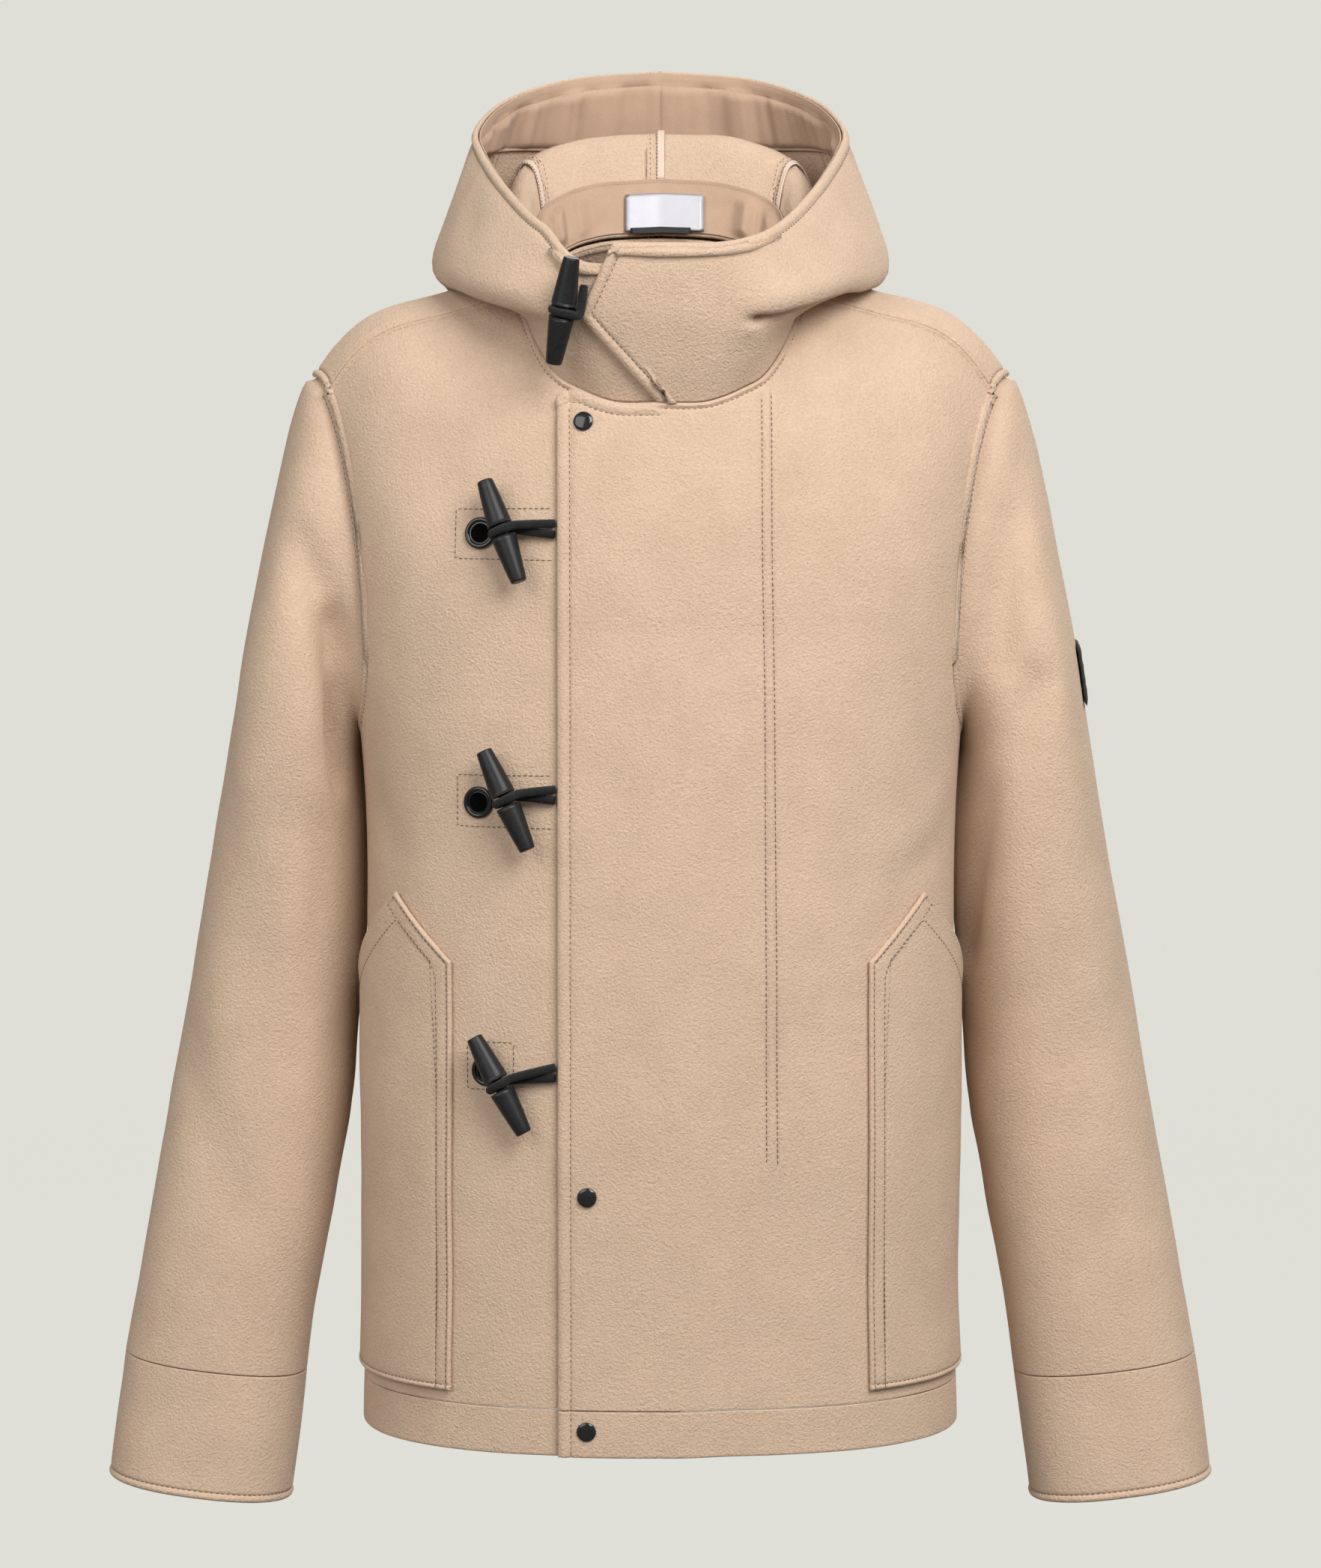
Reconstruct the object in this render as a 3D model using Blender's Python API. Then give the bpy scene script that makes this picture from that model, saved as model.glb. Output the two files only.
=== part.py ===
# A hooded wool parka, filled out as if worn, with nobody in it. Metres, +Z up, the front faces -Y.
# The origin is the point between the shoulders where the wearer holds the garment up.
import math

import bmesh
import bpy
import numpy as np

# ---- driving dimensions -------------------------------------------------------------------------
WALL = 0.003            # thickness of the felted wool
SEAM_GAP = 0.0003       # daylight between two pieces sewn edge to edge
THIN = 0.001            # thickness of the smooth facing and of the tapes
CHEST_Z = -0.200        # above this level the body closes over the shoulders
ARMPIT_Z = -0.265
BAND_Z = -0.674         # seam between the panels and the hem band
HEM_Z = -0.703
SIDE_SHAPE = 2.5        # squareness of a level section: 2 is an ellipse
ARMHOLE_X = 0.184       # half width between the armholes at chest level
SHOULDER_FLARE = 0.20   # how much wider the shoulder tip is than the chest at the armhole
SEAM_TURN = math.radians(69.0)   # the shoulder seam lies this far up and over from the chest
FLAP_X = -0.0625        # free edge of the storm flap, which closes over the right front
FLAP_TOP_Z = -0.0588
FLAP_SQUARE_X = 0.035   # further out than this the flap's top runs level, below the neckline
UNDER_X = 0.012         # hidden edge of the right front, past the centre under the flap
FLAP_LIFT = 0.0046      # the flap lies on the right front, so it stands this far forward
FLAP_CLIMB = 0.036      # distance beyond the hidden edge over which it comes forward

# ---- sections of the body: level, half width, depth in front, depth behind ------------------------
BODY_ROWS = [
    ("hem", -0.710, 0.1875, 0.1380, 0.1345),
    ("thigh", -0.620, 0.1850, 0.1395, 0.1315),
    ("hip", -0.520, 0.1845, 0.1408, 0.1285),
    ("waist", -0.420, 0.1840, 0.1402, 0.1270),
    ("ribs", -0.330, 0.1845, 0.1385, 0.1285),
    ("armpit", -0.265, 0.1880, 0.1362, 0.1300),
    ("chest", -0.200, 0.1950, 0.1320, 0.1280),
]

# ---- the ridge of the shoulders: distance from the centre, height --------------------------------
RIDGE_ROWS = [
    (0.0000, 0.0620), (0.0300, 0.0580), (0.0500, 0.0480), (0.0650, 0.0350), (0.0785, 0.0240),
    (0.0950, 0.0165), (0.1356, 0.0035), (0.1698, -0.0056), (0.1883, -0.0156), (0.2041, -0.0304),
    (0.2149, -0.0443), (0.2220, -0.0520),
]

# ---- the neckline: angle round the neck from the front, column, turn up and over the shoulder -----
NECK_ROWS = [
    (0, 0.0000, 31.5), (20, 0.0300, 32.3), (42, 0.0550, 37.5), (55, 0.0670, 43.3), (69, 0.0765, 52.3),
    (80, 0.0812, 61.5), (87, 0.0830, 69.0), (97, 0.0826, 78.0), (110, 0.0805, 90.0),
    (128, 0.0735, 102.0), (145, 0.0570, 111.0), (162, 0.0310, 117.5), (180, 0.0000, 119.6),
]
FRONT_NECK = (0, 10, 20, 31, 42, 55, 69, 80, 87)
BACK_NECK = (87, 97, 110, 121, 132, 147, 164, 180)

# ---- sleeve rings: share of the armhole's shape left, inner end x z, outer end x z, half depth, y --
SLEEVE_ROWS = [
    (0.82, 0.1905, -0.2680, 0.2262, -0.0580, 0.0580, 0.004),
    (0.58, 0.1908, -0.2705, 0.2320, -0.0730, 0.0620, 0.005),
    (0.34, 0.1910, -0.2735, 0.2400, -0.1050, 0.0670, 0.007),
    (0.12, 0.1912, -0.2775, 0.2500, -0.1580, 0.0710, 0.008),
    (0.00, 0.1914, -0.2830, 0.2591, -0.2072, 0.0735, 0.009),
    (0.00, 0.1914, -0.2960, 0.2680, -0.2637, 0.0745, 0.010),
    (0.00, 0.1915, -0.3355, 0.2773, -0.3205, 0.0735, 0.012),
    (0.00, 0.1935, -0.3930, 0.2872, -0.3774, 0.0705, 0.013),
    (0.00, 0.1965, -0.4500, 0.2975, -0.4345, 0.0665, 0.013),
    (0.00, 0.1985, -0.5070, 0.3075, -0.4918, 0.0620, 0.011),
    (0.00, 0.2060, -0.5642, 0.3174, -0.5492, 0.0575, 0.008),
    (0.00, 0.2165, -0.6220, 0.3279, -0.6068, 0.0535, 0.005),
    (0.00, 0.2243, -0.6757, 0.3385, -0.6620, 0.0505, 0.002),
]
CUFF_ROWS = [
    (0.00, 0.22431, -0.6760, 0.33851, -0.6623, 0.0505, 0.002),
    (0.00, 0.2290, -0.7150, 0.3440, -0.7010, 0.0500, 0.000),
    (0.00, 0.2344, -0.7559, 0.3490, -0.7408, 0.0495, -0.002),
]
SLEEVE_SHAPE = 2.3

# ---- hood: for each angle round the neck, the points of its profile from the neckline to the rim --
HOOD_STEPS = (0.0, 0.15, 0.31, 0.47, 0.56, 0.78, 1.0)
HOOD_ROWS = [
    # angle, roll top, inner fold, lowest point, outer fold, outer wall, rim
    (0, (0, -.1195, -.0460), (0, -.1245, -.0270), (0, -.1285, -.0100), (0, -.1300, .0020),
     (0, -.1315, .0180), (0, -.1305, .0325)),
    (25, (.038, -.1170, -.0430), (.042, -.1225, -.0260), (.045, -.1270, -.0100), (.045, -.1285, .0020),
     (.043, -.1285, .0190), (.040, -.1270, .0335)),
    (45, (.063, -.1070, -.0320), (.070, -.1120, -.0160), (.079, -.1160, -.0080), (.0825, -.1165, .0030),
     (.0765, -.1100, .0220), (.069, -.1000, .0435)),
    (70, (.086, -.0740, -.0060), (.100, -.0760, -.0020), (.115, -.0720, .0010), (.1210, -.0670, .0120),
     (.1115, -.0580, .0360), (.0945, -.0420, .0680)),
    (90, (.094, -.0340, .0200), (.112, -.0280, .0130), (.132, -.0200, .0060), (.1405, -.0100, .0170),
     (.1325, .0040, .0460), (.1120, .0180, .0925)),
    (110, (.0885, .0300, .0500), (.116, .0340, .0220), (.134, .0360, .0070), (.1405, .0380, .0200),
     (.1325, .0400, .0550), (.1155, .0450, .1085)),
    (132, (.0835, .0800, .0830), (.104, .0900, .0300), (.114, .0960, -.0120), (.1260, .1100, -.0060),
     (.1215, .1000, .0550), (.0980, .0900, .1275)),
    (156, (.050, .0980, .0990), (.062, .1130, .0350), (.070, .1150, -.0380), (.0760, .1420, -.0500),
     (.0710, .1450, .0420), (.0575, .1260, .1415)),
    (180, (0, .1050, .1030), (0, .1200, .0350), (0, .1220, -.0500), (0, .1460, -.0700),
     (0, .1520, .0380), (0, .1370, .1465)),
]
HOOD_LEVELS = (0.0, 0.04, 0.08, 0.115, 0.15, 0.19, 0.24, 0.31, 0.39, 0.47, 0.515, 0.56, 0.65, 0.78, 0.90, 1.0)
HOOD_SEAM = 132         # angle of the seams between the side panels and the two back panels
HOOD_UNDER = 8          # the right side runs on under the left collar flap to this angle
# free edge of the left collar flap: height, distance across
COLLAR_EDGE = [
    (-0.0660, 0.0000), (-0.0460, -0.0186), (-0.0270, -0.0357), (-0.0187, -0.0431), (-0.0140, -0.0472),
    (-0.0098, -0.0484), (0.0020, -0.0428), (0.0180, -0.0353), (0.0330, -0.0285),
]

# ---- pockets: angle round the body and height of the upper edge -----------------------------------
POCKET_ANGLES = (38.3, 47.3, 56.4, 63.5, 70.5, 77.0, 83.5, 90.0, 96.5, 103.0)
POCKET_APEX = 56.4
POCKET_FRONT_TOP = -0.402
POCKET_APEX_TOP = -0.362
POCKET_BACK_TOP = -0.454
POCKET_BOTTOM = -0.6665
POCKET_LIFT = 0.0006
POCKET_PUFF = 0.0025

# ---- hardware -------------------------------------------------------------------------------------
TOGGLE_LENGTH = 0.0655
TOGGLE_WIDE = 0.0077    # radius beside the groove
TOGGLE_END = 0.0049
TOGGLE_ROUND = 0.0009   # rounding of its ends
GROOVE_RADIUS = 0.0032
GROOVE_HALF = 0.0036
GROOVE_BEVEL = 0.0006
CORD_RADIUS = 0.0027
CORD_START = 0.0042     # the collar cord starts this far from the flap's edge
LOOP_RADIUS = GROOVE_RADIUS + CORD_RADIUS + SEAM_GAP
TOGGLE_STAND = 0.0115   # middle of a toggle above the cloth under it
EYELET_OUTER = 0.0097
EYELET_INNER = 0.0067
EYELET_HIGH = 0.0016
EYELET_ROUND = 0.0008
LAID = 0.0004           # daylight between the wool and what lies on it
SNAP_RADIUS = 0.0059
SNAP_HIGH = 0.0017
# name, middle of the toggle x z, lean of its top from upright in degrees, eyelet x z, heights of the cords
TOGGLES = [
    ("chest", -0.0925, -0.1420, 21.5, -0.1088, -0.1420, -0.1362, -0.1428),
    ("waist", -0.0900, -0.3020, 26.0, -0.1100, -0.3045, -0.2955, -0.3020),
    ("hip", -0.0940, -0.4745, 30.5, -0.1055, -0.4675, -0.4635, -0.4700),
]
COLLAR_TOGGLE = (-0.0565, -0.0065, -11.6)   # x, z, lean
COLLAR_CORDS = (0.0060, -0.0085)             # heights at which its cord comes out from under the edge
SNAPS = [("top", -0.0464, -0.0748), ("low", -0.0444, -0.5424), ("hem", -0.0450, -0.6865)]

WOOL = (0.557, 0.392, 0.251)
JERSEY = (0.490, 0.345, 0.230)
TAPE = (0.640, 0.520, 0.420)
BLACK = (0.012, 0.012, 0.013)


def smooth_step(value):
    value = min(1.0, max(0.0, value))
    return value * value * (3.0 - 2.0 * value)


def curve_through(keys, values, at):
    """A smooth curve through (key, value) pairs, each value a number or a point."""
    keys = list(keys)
    values = [np.asarray(v, float) for v in values]
    at = min(max(at, keys[0]), keys[-1])
    k = max(i for i in range(len(keys) - 1) if keys[i] <= at)

    def slope(i):
        low, high = max(i - 1, 0), min(i + 1, len(keys) - 1)
        return (values[high] - values[low]) / (keys[high] - keys[low])

    span = keys[k + 1] - keys[k]
    t = (at - keys[k]) / span
    return ((2 * t**3 - 3 * t**2 + 1) * values[k] + (t**3 - 2 * t**2 + t) * span * slope(k)
            + (3 * t**2 - 2 * t**3) * values[k + 1] + (t**3 - t**2) * span * slope(k + 1))


# ---- the body's surface -----------------------------------------------------------------------------
def body_section(z):
    return curve_through([r[1] for r in BODY_ROWS], [r[2:] for r in BODY_ROWS], z)


def ridge_height(x):
    return float(curve_through([r[0] for r in RIDGE_ROWS], [r[1] for r in RIDGE_ROWS], x))


def level_point(angle, z):
    """Below the chest: the angle is 0 in front, 90 degrees at the left side, 180 behind."""
    half, front, behind = body_section(z)
    s, c = math.sin(angle), math.cos(angle)
    power = 2.0 / SIDE_SHAPE
    depth = front if c > 0 else behind
    return np.array([math.copysign(abs(s) ** power, s) * half, -math.copysign(abs(c) ** power, c) * depth, z])


def column_at(angle):
    """Distance from the centre, at chest level, of the column that stands at this angle."""
    s = math.sin(angle)
    return math.copysign(abs(s) ** (2.0 / SIDE_SHAPE), s) * body_section(CHEST_Z)[0]


def angle_of_column(x, z=CHEST_Z):
    return math.copysign(math.asin((abs(x) / body_section(z)[0]) ** (SIDE_SHAPE / 2.0)), x)


def shoulder_point(column, turn):
    """Above the chest: a column rises over the ridge, from turn 0 in front to pi behind."""
    half, front, behind = body_section(CHEST_Z)
    across = abs(column)
    tip = across * (1.0 + SHOULDER_FLARE * (across / ARMHOLE_X) ** 2)
    depth = (front if turn < math.pi / 2 else behind) * (1.0 - (across / half) ** SIDE_SHAPE) ** (1.0 / SIDE_SHAPE)
    square = 2.0 if turn < math.pi / 2 else 3.0 - 0.8 * across / ARMHOLE_X
    out = abs(math.cos(turn)) ** (2.0 / square)
    up = max(0.0, math.sin(turn)) ** (2.0 / square)
    x = across + (tip - across) * (1.0 - out) ** 0.8
    y = math.copysign(depth * out, -math.cos(turn))
    return np.array([math.copysign(x, column), y, CHEST_Z + (ridge_height(tip) - CHEST_Z) * up])


def body_point(angle, rise):
    """rise is the height over the chest where it is negative, and the turn over the shoulder where it isn't."""
    if rise <= 0:
        return level_point(angle, CHEST_Z + rise)
    behind = math.cos(angle) < 0
    return shoulder_point(column_at(angle), math.pi - rise if behind else rise)


def normal_of(surface, u, v, du=2e-3, dv=2e-3):
    across = surface(u + du, v) - surface(u - du, v)
    along = surface(u, v + dv) - surface(u, v - dv)
    n = np.cross(across, along)
    return n / np.linalg.norm(n)


def body_normal(angle, rise):
    if abs(rise) < 4e-3:
        rise = -4e-3
    return normal_of(body_point, angle, rise)


def front_y(x, z):
    """Depth of the front's surface at a place seen from the front."""
    if z <= CHEST_Z:
        return level_point(angle_of_column(x, z), z)[1]
    column = abs(x)
    half, front, _ = body_section(CHEST_Z)
    depth = front * (1.0 - (column / half) ** SIDE_SHAPE) ** (1.0 / SIDE_SHAPE)
    rise = (z - CHEST_Z) / (ridge_height(column) - CHEST_Z)
    return -depth * math.sqrt(1.0 - rise * rise)


def front_frame(x, z):
    """Point and outward direction of the front at x, z."""
    step = 0.002
    point = np.array([x, front_y(x, z), z])
    along_x = np.array([2 * step, front_y(x + step, z) - front_y(x - step, z), 0.0])
    along_z = np.array([0.0, front_y(x, z + step) - front_y(x, z - step), 2 * step])
    n = np.cross(along_x, along_z)
    return point, n / np.linalg.norm(n)


# ---- making solids ------------------------------------------------------------------------------------
def material(name, colour, roughness, metallic=0.0):
    made = bpy.data.materials.new(name)
    made.use_nodes = True
    shader = made.node_tree.nodes["Principled BSDF"]
    shader.inputs["Base Color"].default_value = (*colour, 1.0)
    shader.inputs["Roughness"].default_value = roughness
    shader.inputs["Metallic"].default_value = metallic
    return made


def add_object(name, points, faces, looks):
    mesh = bpy.data.meshes.new(name)
    mesh.from_pydata([tuple(p) for p in points], [], faces)
    bm = bmesh.new()
    bm.from_mesh(mesh)
    bmesh.ops.recalc_face_normals(bm, faces=bm.faces)
    bm.to_mesh(mesh)
    bm.free()
    mesh.shade_smooth()
    mesh.set_sharp_from_angle(angle=math.radians(40))
    mesh.materials.append(looks)
    made = bpy.data.objects.new(name, mesh)
    bpy.context.collection.objects.link(made)
    return made


def wall_of(name, outer, inner, looks, around=False):
    """A closed wall between two grids of points. around joins the last column to the first."""
    rows, columns = len(outer), len(outer[0])
    points = [p for row in outer for p in row] + [p for row in inner for p in row]
    far = rows * columns

    def at(side, i, j):
        return side * far + i * columns + j % columns

    faces = []
    for i in range(rows - 1):
        for j in range(columns if around else columns - 1):
            faces.append((at(0, i, j), at(0, i, j + 1), at(0, i + 1, j + 1), at(0, i + 1, j)))
            faces.append((at(1, i, j), at(1, i + 1, j), at(1, i + 1, j + 1), at(1, i, j + 1)))
    for i in (0, rows - 1):
        for j in range(columns if around else columns - 1):
            faces.append((at(0, i, j), at(1, i, j), at(1, i, j + 1), at(0, i, j + 1)))
    if not around:
        for j in (0, columns - 1):
            for i in range(rows - 1):
                faces.append((at(0, i, j), at(0, i + 1, j), at(1, i + 1, j), at(1, i, j)))
    return add_object(name, points, faces, looks)


def wall_on_body(name, grid, looks, lift=None):
    """grid holds rows of (angle, rise). lift(point) moves the wall forward from the body's surface."""
    outer, inner = [], []
    for row in grid:
        out_row, in_row = [], []
        for angle, rise in row:
            p, n = body_point(angle, rise), body_normal(angle, rise)
            p = p + FORWARD * (lift(p) if lift else 0.0)
            out_row.append(p)
            in_row.append(p - n * WALL)
        outer.append(out_row)
        inner.append(in_row)
    return wall_of(name, outer, inner, looks)


# ---- the body's panels ----------------------------------------------------------------------------------
FORWARD = np.array([0.0, -1.0, 0.0])
LOWER_LEVELS = (-0.605, -0.530, -0.450, -0.375, -0.312)
ARM_STEPS = (90.0, 67.5, 45.0, 22.5, 0.0)      # quarter turn of the armhole's lower curve
FRONT_RISES = (0.16, 0.33, 0.50, 0.67, 0.84, 1.0)
BACK_RISES = (0.09, 0.20, 0.33, 0.46, 0.60, 0.74, 0.87, 1.0)
PANEL_ANGLES = (29.0,) + POCKET_ANGLES[:7]
EDGE_ANGLE = math.radians(90) - 2.0e-4
KEEP_ANGLE = math.radians(26.0)                # columns nearer the centre than this stay straight
ARM_ANGLE = angle_of_column(ARMHOLE_X)


def neck_at(angle):
    column, turn = curve_through([r[0] for r in NECK_ROWS], [r[1:] for r in NECK_ROWS], abs(angle))
    return math.copysign(float(column), angle if angle else 1.0), math.radians(float(turn))


def squeezed(angle, step):
    """Moves a column in towards the centre, between the armpit and the chest, to end on the armhole."""
    end = EDGE_ANGLE - (EDGE_ANGLE - ARM_ANGLE) * math.cos(math.radians(step))
    if angle <= KEEP_ANGLE:
        return angle
    return KEEP_ANGLE + (angle - KEEP_ANGLE) * (end - KEEP_ANGLE) / (EDGE_ANGLE - KEEP_ANGLE)


def arm_rise(step):
    return (ARMPIT_Z - CHEST_Z) * math.sin(math.radians(step))


def column_tops():
    """(angle, turn) of the top of each column of a front, from the centre to the armhole."""
    tops = [(angle_of_column(neck_at(a)[0]), neck_at(a)[1]) for a in FRONT_NECK]
    tops += [(math.radians(a), SEAM_TURN) for a in PANEL_ANGLES] + [(EDGE_ANGLE, SEAM_TURN)]
    return tops


def front_grid(side, edge_x, levels, upper):
    """side is 1 for the left front and -1 for the right. edge_x is the free edge, seen from that side."""
    tops = column_tops()
    if edge_x > 0:
        tops = [t for t in tops if column_at(t[0]) > edge_x + 0.004]
    else:
        tops = [(-a, t) for a, t in reversed(tops[1:]) if -column_at(a) > edge_x + 0.004] + tops
    edge_turn = neck_at(HOOD_UNDER)[1]
    if edge_x < -FLAP_SQUARE_X:
        edge_turn = math.asin((FLAP_TOP_Z - CHEST_Z) / (ridge_height(-edge_x) - CHEST_Z))
        tops = [(a, min(t, edge_turn)) if column_at(a) < -FLAP_SQUARE_X else (a, t) for a, t in tops]

    def row(z_rise, step=90.0):
        edge = angle_of_column(edge_x, min(CHEST_Z + z_rise, CHEST_Z))
        return [(side * edge, z_rise)] + [(side * squeezed(a, step), z_rise) for a, _ in tops]

    grid = [row(z - CHEST_Z) for z in levels]
    if upper:
        grid += [row(arm_rise(step), step) for step in ARM_STEPS]
        last = grid[-1]
        for share in FRONT_RISES:
            turns = [edge_turn] + [t for _, t in tops]
            grid.append([(last[j][0], turns[j] * share) for j in range(len(last))])
    return grid if side > 0 else [list(reversed(r)) for r in grid]


def flap_lift(point):
    """The left side climbs over the right one's hidden edge, on the body and on the collar alike."""
    return FLAP_LIFT * smooth_step((UNDER_X + FLAP_CLIMB - point[0]) / FLAP_CLIMB)


def back_grid(levels, upper):
    tops = [(angle_of_column(neck_at(a)[0]), math.pi - neck_at(a)[1]) for a in BACK_NECK]
    tops = sorted(tops)[:-1] + [(tops[0][0], math.pi - SEAM_TURN - 0.003)]
    tops += [(math.radians(a), math.pi - SEAM_TURN - 0.003) for a in PANEL_ANGLES]
    tops += [(EDGE_ANGLE, math.pi - SEAM_TURN - 0.003)]
    tops = [(-a, t) for a, t in reversed(tops[1:])] + tops

    def row(z_rise, step=90.0):
        return [(math.pi - math.copysign(squeezed(abs(a), step), a), z_rise) for a, _ in tops]

    grid = [row(z - CHEST_Z) for z in levels]
    if upper:
        grid += [row(arm_rise(step), step) for step in ARM_STEPS]
        last = grid[-1]
        for share in BACK_RISES:
            grid.append([(last[j][0], tops[j][1] * share) for j in range(len(last))])
    return [list(reversed(r)) for r in grid]


def make_panels(wool):
    levels = (BAND_Z + SEAM_GAP / 2,) + LOWER_LEVELS
    wall_on_body("front_left", front_grid(1, FLAP_X, levels, True), wool, flap_lift)
    wall_on_body("front_right", front_grid(-1, -UNDER_X, levels, True), wool)
    wall_on_body("back", back_grid(levels, True), wool)
    band = (HEM_Z, BAND_Z - SEAM_GAP / 2)
    wall_on_body("hem_band_left", front_grid(1, FLAP_X, band, False), wool, flap_lift)
    wall_on_body("hem_band_right", front_grid(-1, -UNDER_X, band, False), wool)
    wall_on_body("hem_band_back", back_grid(band, False), wool)


# ---- sleeves ----------------------------------------------------------------------------------------------
def armhole_loop():
    """The left armhole's corner points and outward directions, from the shoulder seam down the front and up the back."""
    places = [(ARM_ANGLE, SEAM_TURN * s) for s in reversed(FRONT_RISES)]
    places += [(EDGE_ANGLE - (EDGE_ANGLE - ARM_ANGLE) * math.cos(math.radians(s)), arm_rise(s))
               for s in reversed(ARM_STEPS)]
    places += [(math.pi - EDGE_ANGLE + (EDGE_ANGLE - ARM_ANGLE) * math.cos(math.radians(s)), arm_rise(s))
               for s in ARM_STEPS[1:]]
    over = math.pi - SEAM_TURN
    places += [(math.pi - ARM_ANGLE, over * s) for s in BACK_RISES[:-1]]
    points = [body_point(*p) for p in places]
    normals = [body_normal(*p) for p in places]
    return points, normals


def shares_of(points):
    steps = [np.linalg.norm(points[i] - points[i - 1]) for i in range(len(points))]
    total = sum(steps)
    shares, run = [], 0.0
    for i in range(len(points)):
        shares.append(run / total)
        run += steps[(i + 1) % len(points)]
    return shares


def sleeve_ring(row, points, first, top_share):
    """The ring of one row of the table, with its corners spaced as the armhole's are."""
    blend, in_x, in_z, out_x, out_z, deep, mid_y = row
    inner, outer = np.array([in_x, mid_y, in_z]), np.array([out_x, mid_y, out_z])
    middle, reach = (inner + outer) / 2, (outer - inner) / 2
    power = 2.0 / SLEEVE_SHAPE
    fine = 240
    dense = []
    for i in range(fine + 1):
        a = 2 * math.pi * i / fine
        c, s = math.cos(a), math.sin(a)
        dense.append(middle + reach * math.copysign(abs(c) ** power, c)
                     + np.array([0, -deep * math.copysign(abs(s) ** power, s), 0]))
    run = np.concatenate([[0], np.cumsum([np.linalg.norm(dense[i + 1] - dense[i]) for i in range(fine)])])
    ring = []
    for share, hole in zip(shares_of(points), first):
        want = ((share - top_share) % 1.0) * run[-1]
        k = min(int(np.searchsorted(run, want, side="right")) - 1, fine - 1)
        t = (want - run[k]) / (run[k + 1] - run[k])
        ring.append(hole * blend + (dense[k] * (1 - t) + dense[k + 1] * t) * (1 - blend))
    return ring


def ring_normals(rings):
    found = []
    for i, ring in enumerate(rings):
        low, high = rings[max(i - 1, 0)], rings[min(i + 1, len(rings) - 1)]
        row = []
        for j in range(len(ring)):
            n = np.cross(high[j] - low[j], ring[(j + 1) % len(ring)] - ring[j - 1])
            row.append(n / np.linalg.norm(n))
        found.append(row)
    middle = np.mean(rings[-1], axis=0)
    if np.dot(found[-1][0], rings[-1][0] - middle) < 0:
        found = [[-n for n in row] for row in found]
    return found


def sleeve_rings(rows, start=None):
    points, normals = armhole_loop()
    shares = shares_of(points)
    heights = [p[2] for p in points]
    top_share = shares[heights.index(max(heights))]
    upper = [smooth_step((z + 0.20) / 0.08) for z in heights]
    target = sleeve_ring(SLEEVE_ROWS[0], points, points, top_share)
    first = []
    for p, n, high, aim in zip(points, normals, upper, target):
        away = (aim - p) - n * np.dot(aim - p, n)
        away = away / max(np.linalg.norm(away), 1e-9)
        first.append(p + away * SEAM_GAP * high + n * 2 * SEAM_GAP * (1 - high))
    rings = [sleeve_ring(row, points, first, top_share) for row in rows]
    if start:
        rings = [first] + rings
    directions = ring_normals(rings)
    if start:
        mixed = [n * high + own * (1 - high) for n, high, own in zip(normals, upper, directions[0])]
        directions[0] = [n / np.linalg.norm(n) for n in mixed]
    return rings, directions


def mirrored(grid):
    return [[p * np.array([-1, 1, 1]) for p in row] for row in grid]


def inset(grid, directions, depth):
    return [[p - n * depth for p, n in zip(row, ns)] for row, ns in zip(grid, directions)]


def make_sleeves(wool, patch):
    for side in ("left", "right"):
        for name, rows, start in (("sleeve", SLEEVE_ROWS, True), ("cuff", CUFF_ROWS, False)):
            outer, directions = sleeve_rings(rows, start)
            inner = inset(outer, directions, WALL)
            if side == "right":
                outer, inner = mirrored(outer), mirrored(inner)
            wall_of(f"{name}_{side}", outer, inner, wool, around=True)
    rings, directions = sleeve_rings(SLEEVE_ROWS, True)
    low, high = rings[6], rings[5]
    low_n, high_n = directions[6], directions[5]
    count = len(low)
    peak = max(range(count), key=lambda j: low[j][0])
    columns = [(peak + k) % count for k in (-2, -1, 0, 1, 2)]
    rows = []
    for share in (0.18, 0.5, 0.86):
        rows.append([(high[j] * share + low[j] * (1 - share), high_n[j] * share + low_n[j] * (1 - share))
                     for j in columns])
    outer = [[p + n * 0.0026 for p, n in row] for row in rows]
    inner = [[p + n * 0.0006 for p, n in row] for row in rows]
    wall_of("sleeve_patch", outer, inner, patch)


# ---- hood ---------------------------------------------------------------------------------------------------
def neck_base(angle):
    """The neckline as the panels' upper edges cut it, corner by corner."""
    corners = FRONT_NECK + BACK_NECK[1:]
    k = max(i for i in range(len(corners) - 1) if corners[i] <= angle)
    share = (angle - corners[k]) / (corners[k + 1] - corners[k])
    return shoulder_point(*neck_at(corners[k])) * (1 - share) + shoulder_point(*neck_at(corners[k + 1])) * share


def hood_point(angle, level):
    """angle in degrees round the neck, level 0 at the neckline and 1 at the rim."""
    side = -1.0 if angle < 0 else 1.0
    round_neck = min(abs(angle), 360 - abs(angle))
    if abs(angle) > 180:
        side = -side
    keys = [r[0] for r in HOOD_ROWS]
    profile = [neck_base(round_neck)]
    profile += [curve_through(keys, [r[1 + i] for r in HOOD_ROWS], round_neck) for i in range(6)]
    point = curve_through(HOOD_STEPS, profile, level)
    point[0] *= side
    return point


def hood_frame(angle, level):
    low, high = max(level - 0.01, 0.0), min(level + 0.01, 1.0)
    across = hood_point(angle + 0.5, level) - hood_point(angle - 0.5, level)
    along = hood_point(angle, high) - hood_point(angle, low)
    n = np.cross(across, along)
    return hood_point(angle, level), n / np.linalg.norm(n)


def rim_level(angle):
    """The right rim runs down lower as it goes under the left."""
    return 1.0 - 0.20 * smooth_step((angle + 46) / 22)


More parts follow.
